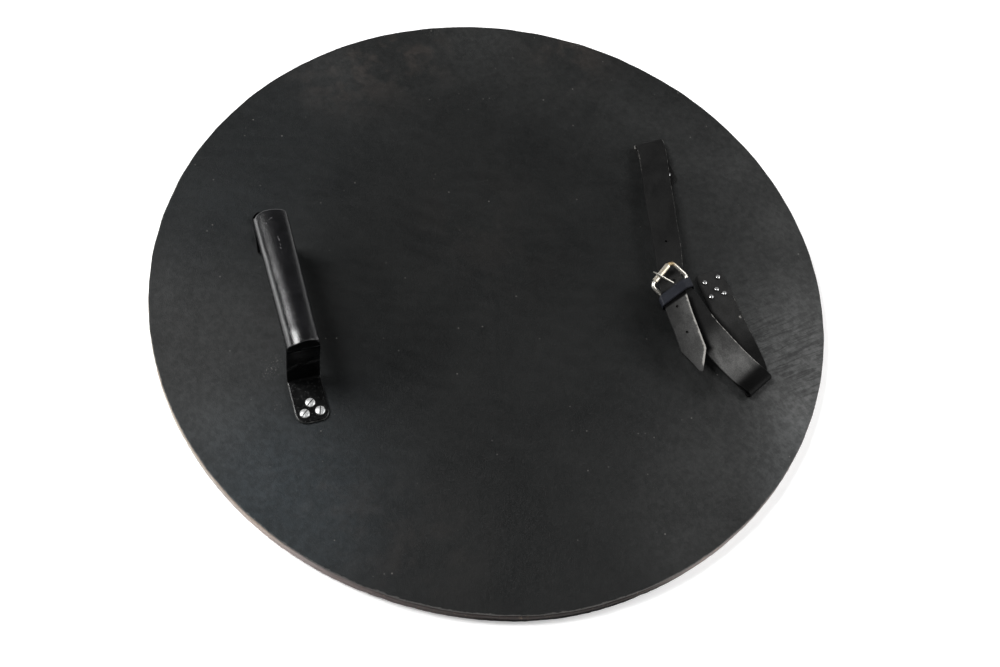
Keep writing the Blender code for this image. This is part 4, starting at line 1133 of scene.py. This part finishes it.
def rollerShell(look):
    # A rolled sheet tube: a round wall with eased ends, dented a little along its seam
    inner, outer, reach = look["wire"] + look["gap"], look["rollerRadius"], look["rollerHalf"]
    easing = 0.3
    arc = np.linspace(0, quarter, 5)
    roundOver = easing * (1 - np.sin(arc))
    outside = np.linspace(-reach + easing, reach - easing, 40)[1:-1]
    inside = np.linspace(reach, -reach, 12)
    x = np.r_[-reach + roundOver, outside, reach - roundOver[::-1], inside, -reach + easing][:, None]
    r = np.r_[
        outer - roundOver, 0 * outside + outer, outer - roundOver[::-1], 0 * inside + inner, outer - easing
    ]
    turn = np.linspace(0, 2 * np.pi, 41)
    fromSeam = np.abs(turn - 4.2)
    dent = 0.14 * bell(np.minimum(fromSeam, 2 * np.pi - fromSeam) / 0.09)
    radius = r[:, None] - dent[None, :] * (r[:, None] > inner + 0.1)
    points = joined(x, look["halfLength"] + radius * np.cos(turn), radius * np.sin(turn))
    return gridShell(points, joined(x, turn * outer) * mm, {"aged": 0.45 + 0.2 * ease((x + 4) / 12)})


def buildBuckle(look):
    # The frame is a round wire along a rounded rectangle, and the prong one along its own path,
    # thinner to its tip, with its ends rounded by a quarter circle
    material = makeNickel(look)
    loop = spacedLoop(roundedLoop(look["halfWidth"], look["halfLength"], look["corner"], 9), 0.7)
    x, y = np.vstack([loop, loop[:1]])[:, :2].T
    aged = ease((y - 2) / 8) * ease((x + 4) / 10) * 0.9 + 0.15
    wire = look["wire"] * (1 + 0.015 * ripple(loop[:, 0], loop[:, 1], 9.0, 51))
    shell = tubeShell(loop, wire, 20, True, upward, {"aged": aged[:, None]})
    makeBucklePiece("buckleFrame", shell, material, "buckle_frame")
    makeBucklePiece("buckleRoller", rollerShell(look), material, "buckle_roller")

    along, path = prongPath(look)
    left = along[-1] - along
    ends = np.clip(1 - np.minimum(left, along) / 0.7, 0, None)
    radius = look["prongWire"] * (0.62 + 0.38 * ease(left / 9)) * np.sqrt(np.clip(1 - ends**2, 0, 1))
    plane = unit(np.cross(path[40] - path[0], path[60] - path[0]))
    shell = tubeShell(path, radius, 18, False, plane, {"aged": 0.1})
    makeBucklePiece("buckleProng", shell, material, "buckle_prong")


buildBuckle(buckle)
print("buckle built")


strap = {
    # The middle of its lower layer, over a small gap and half its thickness
    "low": facing["base"] + facing["thickness"] + 0.3 + 1.2,
    "thickness": 2.4, "width": 27.3, "corner": 8.5, "flapCorner": 3.0, "foldRadius": 3.0, "step": 0.8,
    "columns": 40, "holeCells": 2, "edgeRound": 0.85, "unevenness": 0.03, "unevenSize": 13.0, "seed": 61,
    "edgeWear": 1.0, "hingeLoop": 3.32, "prongSlot": (22.7, 42.9, -0.6, 4.4), "tipLength": 21.0,
    "tipBlunt": 3.0, "wave": 0.22, "leather": (0.0045, 0.0045, 0.0045),
    "rubbed": (0.0090, 0.0090, 0.0088), "sheen": (0.110, 0.109, 0.106), "paleEdge": (0.34, 0.33, 0.31),
    "cutEdgeAndShade": (0.0040, 0.0040, 0.0040), "grainSize": 620.0, "roughness": 0.50,
}


def makeStrapLeather(name, look):
    constants = {"Specular IOR Level": 0.11, "Coat Roughness": 0.42}
    material, place, attribute, shader = newMaterial(name, constants)
    surface = node("ShaderNodeUVMap", tree=place.tree, uv_map="surface")[0]
    cutEdgeAndShade, paleEdge = rgba(look["cutEdgeAndShade"]), rgba(look["paleEdge"])
    tone = cloud(surface, 48.0, 1.0, rgba(look["leather"]), rgba(look["rubbed"]))
    uneven = tone["Mask"] * 0.5 + noise(surface, 130.0, 5.0, 0.65) * 0.5
    sheen = attribute("sheen") * ranged(uneven, 0.25, 0.75, 0.62, 1.1)
    grain = placed(grainGroup, Vector=surface, Size=look["grainSize"])
    base = mixed(sheen, tone["Color"], rgba(look["sheen"]))
    base = mixed(grain["Pits"] * 0.35, base, cutEdgeAndShade)
    base = mixed(wornAway(attribute("edge"), surface, 150.0, 0.35) * 0.5, base, cutEdgeAndShade)
    # Pale edges: rubbed wear, with painted sheen along the tongue's tip and a painted highlight at its fold
    base = mixed(wornAway(attribute("rubbedEdge"), surface, 260.0, 0.5) * 0.8, base, paleEdge)
    base = mixed(scratched(surface, 120.0, 0.5) * 0.06, base, paleEdge)
    # Painted shade where another layer stands close over the leather: near black, and Metallic takes away
    # the gloss
    shaded = attribute("shaded")
    base = mixed(shaded, base, cutEdgeAndShade)
    linked(sheen * ((1.0 - shaded) * 0.4), shader.inputs["Coat Weight"])
    roughness = grain["Pits"] * 0.12 + tone["Mask"] * 0.1 + look["roughness"]
    normal = bumped(noise(place, 120.0, 4.0, 0.6), 0.3, 0.6)
    normal = bumped(grain["Height"], 0.45, 0.2, normal)
    finish(shader, base, roughness, normal, shaded * 0.95)
    return material


def halfTurn(centre, heading, side, width):
    # A half circle from the lower layer to the upper one
    a, heading = np.linspace(0, np.pi, 7), math.radians(heading)
    out = strap["foldRadius"] * np.sin(a)
    rise = strap["low"] + strap["foldRadius"] * (1 - np.cos(a))
    x, y = centre[0] + out * math.sin(heading), centre[1] + out * math.cos(heading)
    return joined(x, y, rise, side, 0.0, width)


def bandLines(stations):
    # The middle line, the right-hand vector from its angle from +X and how far it is tipped up,
    # and the half-width
    side, tip = np.radians(stations[:, 3]), np.radians(stations[:, 4])
    right = joined(np.cos(side) * np.cos(tip), np.sin(side) * np.cos(tip), np.sin(tip))
    return stations[:, :3], right, stations[:, 5] / 2


# Stations are x, y, z, the angle of the right-hand side from +X, how far it is tipped up, and the width
low, wide = strap["low"], strap["width"]
tongueStations = np.vstack([
    [
        (195.2, 63.8, low, 0, 0, wide), (195.2, 72.0, low, 0, 0, wide), (195.2, 90.0, low, 0, 0, wide),
        (195.2, 101.0, low, 1, 0, wide),
    ],
    halfTurn((195.4, 109.4), 0.0, 2.5, wide + 1.2),
    [
        (193.4, 98.0, 22.6, -3, 0, wide + 0.6), (187.8, 78.0, 24.0, -11, -1, wide),
        (175.0, 33.5, 26.6, -14, -2, 27.0), (164.8, -5.6, 28.6, -14, -2, 25.8),
        (158.2, -28.0, 29.2, -9, -1, 24.6), (154.6, -37.5, 29.8, 4, 0, 24.0),
        (151.8, -42.8, 31.2, 10, 0, 24.0), (149.6, -46.6, 34.7, 11, 2, 24.0),
        (148.3, -50.4, 37.3, 9, 2, 24.0), (147.2, -55.4, 38.3, 4, 0, 24.0),
        (145.6, -64.0, 38.7, -5, -2, 24.0), (143.8, -80.0, 38.6, -4, -3, 24.0),
        (143.0, -100.0, 38.2, -2, -4, 24.0), (141.9, -118.0, 37.4, -3, -4, 24.0),
        (140.6, -140.6, 36.0, -4, -4, 24.0),
    ],
])
tongue = {
    "punchRadius": 1.35, "punchFromTip": (38.6, 65.2, 143.0), "punchAside": -0.8,
    "prongHole": (223.8, 2.9, 2.9, 2.4),  # along, across and its two half sizes
    "keeperFrom": 232.0, "keeperTo": 70.0, "foldAt": 50.0,
}


def hingeStations():
    # Round the hinge bar in a half circle, from under it to over it
    x, y, z = np.array(buckle["centre"]) - buckleAxes[:, 1] * buckle["halfLength"]
    side = math.atan2(buckleAxes[1, 0], buckleAxes[0, 0])
    tip = math.asin(buckleAxes[2, 0])
    a, reach = np.linspace(0, np.pi, 7), strap["hingeLoop"]
    out = reach * np.sin(a)
    return joined(
        x - math.sin(side) * out, y + math.cos(side) * out, z - reach * np.cos(a),
        math.degrees(side), math.degrees(tip), 17.6,
    )


lowerStations = np.vstack([
    [
        (159.4, -82.0, 27.4, 25, 12, 21.0), (157.2, -73.0, 29.0, 27, 9, 21.0),
        (155.9, -64.0, 29.4, 30, 8, 20.0),
    ],
    hingeStations(),
    [
        (155.9, -63.5, 34.2, 29, 7, 22.0), (157.6, -73.0, 32.6, 26, 9, 26.0),
        (162.3, -92.0, 28.4, 22, 14, wide), (175.6, -124.5, 24.0, 22, 17, wide),
        (184.8, -143.5, 21.9, 23, 11, wide + 0.8),
    ],
    halfTurn((193.1, -158.6), 180.0 - 23.8, 23.8, wide + 2.4)[::-1],
    [
        (195.8, -146.0, low, 12, 0, wide + 0.8), (196.8, -128.0, low, 2, 0, wide),
        (196.3, -90.0, low, 0, 0, wide), (196.0, -48.0, low, 0, 0, wide), (196.0, -37.5, low, 0, 0, wide),
    ],
])


def buildTongue(look, holes):
    # A flat band along the stations, which narrows in a straight line to its point
    along, stations = smoothPath(tongueStations, look["step"])
    middle, right, half = bandLines(stations)
    total = along[-1]
    toPoint = (total - along + look["tipBlunt"]) / (look["tipLength"] + look["tipBlunt"])
    half = np.minimum(roundEnd(along, half, look["corner"]), half * np.minimum(1.0, toPoint))
    punch = holes["punchRadius"]
    punched = [(total - reach, holes["punchAside"], punch, punch) for reach in holes["punchFromTip"]]

    def lift(s, t):  # its free part waves, and its edges curl down by the square of the place across
        return ease((s - 60) / 20) * (look["wave"] * ripple(s, t, 48.0, 62) - 0.0016 * t * t)

    def beyond(s):  # 0 up to the buckle, 1 past the keeper
        return ease((s - holes["keeperFrom"]) / 8)

    def fromRight(s, t):  # millimetres in from the strap's right-hand edge
        return np.interp(s, along, half) - t

    def fromLeft(s, t):
        return np.interp(s, along, half) + t

    def shaded(s, t):  # under the keeper, with an end that slants across the strap
        return 0.97 * ease((total - holes["keeperTo"] - 0.50 * t - s) / 1.4) * ease((s - total + 84) / 4)

    def sheen(s, t):
        upper = 0.10 * (1 - beyond(s)) * ease((s - holes["keeperFrom"] + 60) / 60)
        return beyond(s) * (0.30 + 0.12 * t / 12 + 0.4 * np.exp(-fromRight(s, t) / 4.0)) + upper

    def rubbedEdge(s, t):
        # Past the keeper the right edge, rubbed and painted sheen; before it both edges; the fold at the
        # nailed end, a painted highlight
        tipRubAndSheen = (0.74 + 0.26 * ease((s - total + 60) / 40)) * (1 - 0.55 * ease((s - total + 9) / 6))
        before = 1 - beyond(s)
        leftRub = 0.34 + 0.24 * ease((115 - s) / 40)
        return np.maximum.reduce([
            beyond(s) * bell(fromRight(s, t) / 3.4) * tipRubAndSheen,
            before * ease((s - 44) / 10) * bell(fromRight(s, t) / 0.9) * 0.62,
            before * ease((s - 50) / 10) * bell(fromLeft(s, t) / 0.8) * leftRub,
            bell((s - holes["foldAt"]) / 3.0) * 0.90,
        ])

    values = {"shaded": shaded, "sheen": sheen, "rubbedEdge": rubbedEdge}
    punched.append(holes["prongHole"])
    shell = slabShell(along, middle, right, half, look, values, holes=punched, lift=lift)
    makePiece("tongueStrap", [shell], strapMaterial, "strap_leather", "tongue_strap")


def buildLowerStrap(look):
    # A flat band along the stations, from the flap round the hinge bar, over the fold, to the nailed end
    along, stations = smoothPath(lowerStations, look["step"])
    middle, right, half = bandLines(stations)
    total = along[-1]
    flapEnd = roundEnd(along, half, look["flapCorner"])
    nailedEnd = roundEnd(total - along, half, look["corner"])
    half = np.minimum(flapEnd, nailedEnd)

    def lift(s, t):  # its free part waves
        return ease((s - 62) / 12) * ease((205 - s) / 20) * look["wave"] * ripple(s, t, 44.0, 63)

    def under(s):  # 0 where the upper layer comes off the nailed end, 1 at the fold
        return np.clip((total - 41.5 - s) / 71, 0, 1)

    def fromRight(s, t):  # millimetres in from the strap's right-hand edge
        return np.interp(s, along, half) - t

    def shaded(s, t):
        # Under the tongue, at the bend before the fold, and under its own upper layer
        tongueSide = np.interp(s, (56, 76, 98), (3.6, -0.8, -7.9))
        layered = 0.85 * ease((30 * under(s) - 9.6 - t) / (4 + 12 * under(s)))
        return np.maximum.reduce([
            ease((105 - s) / 6) * ease((s - 48) / 8) * ease((tongueSide + 4.6 - t) / 4.6),
            0.9 * ease((s - 133) / 10) * ease((158 - s) / 8),
            ease((s - 150) / 6) * np.maximum(layered, 0.72 * ease((total - 64 - s) / 24)),
        ])

    def sheen(s, t):
        bright = 0.42 + 0.50 * bell((s - 121 - 0.55 * t) / 13)
        return ease((s - 79) / 28) * ease((146 - s) / 10) * bright + 0.10 * ease((s - 165) / 20)

    def rubbedEdge(s, t):
        # The upper layer's right edge, the nailed end's right edge, and a spot on it
        edge = bell(fromRight(s, t) / 1.2)
        return np.maximum.reduce([
            ease((s - 70) / 10) * ease((150 - s) / 8) * edge * 0.78,
            ease((s - total + 88) / 20) * ease((total - 22 - s) / 10) * edge * 0.62,
            0.64 * bell((s - total + 52) / 5.0) * bell((t - 10.5) / 3.0),
        ])

    values = {"shaded": shaded, "sheen": sheen, "rubbedEdge": rubbedEdge}
    shell = slabShell(along, middle, right, half, look, values, slots=[look["prongSlot"]], lift=lift)
    makePiece("buckleStrap", [shell], strapMaterial, "strap_leather", "buckle_strap")


keeper = {
    "centre": (147.0, -63.6, 35.0), "yaw": 24.0, "along": (0.0, -1.0, -0.05), "up": (0.0, 0.42, 1.0),
    "width": 10.2, "thickness": 1.8, "columns": 18, "holeCells": 2, "edgeRound": 0.6, "unevenness": 0.04,
    "unevenSize": 7.0, "seed": 71, "edgeWear": 0.8, "leather": (0.0052, 0.0060, 0.0092),
    "rubbed": (0.0100, 0.0112, 0.0155), "sheen": (0.034, 0.037, 0.047), "paleEdge": (0.20, 0.20, 0.23),
    "cutEdgeAndShade": (0.0050, 0.0050, 0.0070), "grainSize": 800.0, "roughness": 0.46,
    # The loop's middle line, as across and up from its centre
    "outline": (
        (22.4, -0.6), (22.4, -0.3), (21.4, 2.7), (21.2, 2.9), (21.0, 3.1), (12.6, 6.3), (-15.8, 7.4),
        (-16.1, 7.3), (-16.4, 7.2), (-16.7, 7.0), (-16.9, 6.8), (-17.1, 6.5), (-17.3, 3.5), (-17.3, 3.2),
        (-17.2, 2.9), (-16.9, 2.7), (0.7, -11.3), (1.0, -11.4), (1.3, -11.4), (18.8, -8.4), (19.1, -8.2),
        (20.9, -6.5), (21.1, -6.3), (21.3, -6.0),
    ),
}


def buildKeeper(look):
    # A closed loop in the plane of its across and up directions, its band carried along the strap
    yaw = math.radians(look["yaw"])
    across = np.array([math.cos(yaw), math.sin(yaw), 0.0])
    up = unit(np.array(look["up"]))
    loop = spacedLoop(np.array(look["outline"]), 0.6)
    for _ in range(3):
        loop = (np.roll(loop, 1, axis=0) + 2 * loop + np.roll(loop, -1, axis=0)) / 4
    loop = np.vstack([loop, loop[:1]])
    middle = np.array(look["centre"]) + loop[:, :1] * across + loop[:, 1:] * up
    along = lengthAlong(middle)
    right = np.tile(unit(np.array(look["along"])), (len(along), 1))
    half = np.full(len(along), look["width"] / 2)
    values = {
        "sheen": lambda s, t: 0.2,
        "rubbedEdge": lambda s, t: ease((-t - 3.9) / 1.0) * 0.5,
        "shaded": lambda s, t: 0.96 * ease((t - 3.6) / 1.0),
    }
    shell = slabShell(along, middle, right, half, look, values, closed=True)
    material = makeStrapLeather("keeperLeather", look)
    makePiece("strapKeeper", [shell], material, "keeper_leather", "strap_keeper")


nails = {
    "headRadius": 2.4, "headHeight": 1.7, "shankRadius": 1.0, "tip": 4.0, "seat": 17.0, "columns": 28,
    "steel": (0.62, 0.62, 0.62), "dirt": (0.014, 0.013, 0.012), "roughness": 0.28, "metal": 0.80,
    "places": (
        (188.4, 74.2), (201.9, 73.9), (188.2, 90.6), (202.2, 90.2), (195.0, 82.4), (188.7, -63.4),
        (202.1, -63.0), (188.7, -48.0), (203.1, -45.4), (196.8, -57.3),
    ),
}


def buildNails(look):
    # Profile: point, shank, underside of the head, and a dome a quarter ellipse high,
    # each head dented by its own ripple
    material = makeScrewSteel("nailSteel", look)
    arc = np.linspace(quarter, 0, 12)[:-1]
    r, seat, tip, shank = look["headRadius"], look["seat"], look["tip"], look["shankRadius"]
    rim, top = seat + 0.3, seat + look["headHeight"]
    radius = np.r_[0, shank * 0.5, shank, shank, r - 0.1, r * np.sin(arc), 0]
    height = np.r_[tip, tip + 1, tip + 2.5, seat, seat, rim + (top - rim) * np.cos(arc), top]
    # Darker round the edge of the head and under it
    dirt = (0.9 * ease((radius / r - 0.62) / 0.25))[:, None]
    for count, (x, y) in enumerate(look["places"], 1):
        shell = turnedShell(radius, height, look["columns"], {"dirt": dirt})
        px, py, pz = shell["points"].T
        dent = np.minimum(0.05 * ripple(px, py, 3.6, 80 + count) * (pz > seat + 0.4), 0.0)
        shell["points"] = joined(px + x, py + y, pz + dent)
        makePiece(f"strapNail{count}", [shell], material, "nail_steel", f"strap_nail_{count}")


strapMaterial = makeStrapLeather("strapLeather", strap)
buildTongue(strap, tongue)
buildLowerStrap(strap)
buildKeeper(keeper)
buildNails(nails)
print("arm strap built")


studio = {
    "floorSize": 30.0, "floorDrop": 0.0002, "floorColour": (0.88, 0.88, 0.88), "floorGlow": 0.30,
    "fillStrength": 0.05, "backgroundStrength": 1.0,
    # A pale wall low down, behind and beside the shield, fades between two heights of the unit vector
    "horizonStrength": 0.85, "horizonHeight": (0.12, 0.36),
    # Softboxes: angle round from +X, height angle, distance and two sides in metres, power in watts
    "softboxes": {
        "leftLow": (149.0, 9.0, 2.1, (1.6, 0.5), 14.0),
        "leftHigh": (151.0, 56.0, 2.1, (0.7, 0.8), 46.0),
        "rightBox": (-31.0, 24.0, 2.1, (1.3, 1.3), 24.0),
        "farRightBox": (-8.0, 44.0, 2.1, (0.9, 0.9), 16.0),
    },
    # The camera: angles in degrees, the azimuth from -Y; distance and target in metres, lens in millimetres
    "azimuth": -31.0, "elevation": 59.929, "roll": 13.953, "distance": 1.24554,
    "target": (-0.00726, -0.04078, 0.0), "lens": 50.0,
}


def buildFloor(look):
    # A flat grid, a little below the shield
    constants = {
        "Specular IOR Level": 0.2, "Emission Color": (1.0, 1.0, 1.0, 1.0),
        "Emission Strength": look["floorGlow"],
    }
    material, place, _, shader = newMaterial("paleFloor", constants)
    tone = cloud(place, 4.0, 0.3, rgba(look["floorColour"], 0.985), rgba(look["floorColour"]))
    weave = noise(place, 900.0, 2.0, 0.5)
    finish(shader, tone["Color"], ranged(weave, 0.3, 0.7, 0.8, 0.9), bumped(weave, 0.05, 0.1))
    line = np.linspace(-0.5, 0.5, 9) * look["floorSize"]
    x, y = np.meshgrid(line, line, indexing="ij")
    a, b, c, d = cellCorners(x.shape)
    mesh = bpy.data.meshes.new("floor")
    corners = joined(x, y, -look["floorDrop"]).reshape(-1, 3)
    mesh.from_pydata(corners.tolist(), [], joined(a, d, c, b).reshape(-1, 4).tolist())
    mesh.materials.append(material)
    floor = bpy.data.objects.new("floor", mesh)
    bpy.context.scene.collection.objects.link(floor)


def outwards(azimuth, height):
    # The unit vector at an angle round from +X and one above the floor, both in degrees
    a, e = math.radians(azimuth), math.radians(height)
    return np.array([math.cos(a) * math.cos(e), math.sin(a) * math.cos(e), math.sin(e)])


def standing(target, back, distance, roll=0.0):
    # A matrix at this distance back from the target, looking at it along -Z and turned about that line
    level = unit(np.cross(upward, back))
    upright = np.cross(back, level)
    c, s = math.cos(roll), math.sin(roll)
    rows = np.eye(4)
    place = np.array(target) + back * distance
    rows[:3] = joined(c * level + s * upright, c * upright - s * level, back, place)
    return Matrix(rows.tolist())


def buildLights(look):
    # Even fill and a pale wall for all but the camera's own view, and softboxes aimed at the shield
    world = bpy.data.worlds.new("studioWorld")
    world.use_nodes = True
    tree = world.node_tree
    background = tree.nodes["Background"].inputs
    background["Color"].default_value = (1.0, 1.0, 1.0, 1.0)
    direction = node("ShaderNodeSeparateXYZ", {0: node("ShaderNodeTexCoord", tree=tree)["Generated"]})
    wall = ranged(direction["Z"], *look["horizonHeight"], look["horizonStrength"], 0.0)
    around = wall * ranged(direction["Y"], -0.5, 0.1) + look["fillStrength"]
    seen = node("ShaderNodeLightPath", tree=tree)["Is Camera Ray"]
    sockets = {"Value": seen, "To Min": around, "To Max": look["backgroundStrength"]}
    linked(node("ShaderNodeMapRange", sockets)[0], background["Strength"])
    bpy.context.scene.world = world
    for name, (azimuth, height, distance, sides, power) in look["softboxes"].items():
        lamp = bpy.data.lights.new(name, "AREA")
        lamp.shape = "RECTANGLE"
        lamp.size, lamp.size_y = sides
        lamp.energy = power
        box = bpy.data.objects.new(name, lamp)
        box.matrix_world = standing((0.0, 0.0, 0.0), outwards(azimuth, height), distance)
        bpy.context.scene.collection.objects.link(box)


def buildCamera(look):
    # Straight back from the target by the distance, turned about the line of sight by the roll
    back = outwards(look["azimuth"] - 90, look["elevation"])
    lens = bpy.data.cameras.new("shieldCamera")
    lens.lens = look["lens"]
    lens.sensor_width = 36.0
    camera = bpy.data.objects.new("shieldCamera", lens)
    camera.matrix_world = standing(look["target"], back, look["distance"], math.radians(look["roll"]))
    bpy.context.scene.collection.objects.link(camera)
    bpy.context.scene.camera = camera


buildFloor(studio)
buildLights(studio)
buildCamera(studio)
bpy.context.scene.view_settings.view_transform = "Standard"
print("studio built")
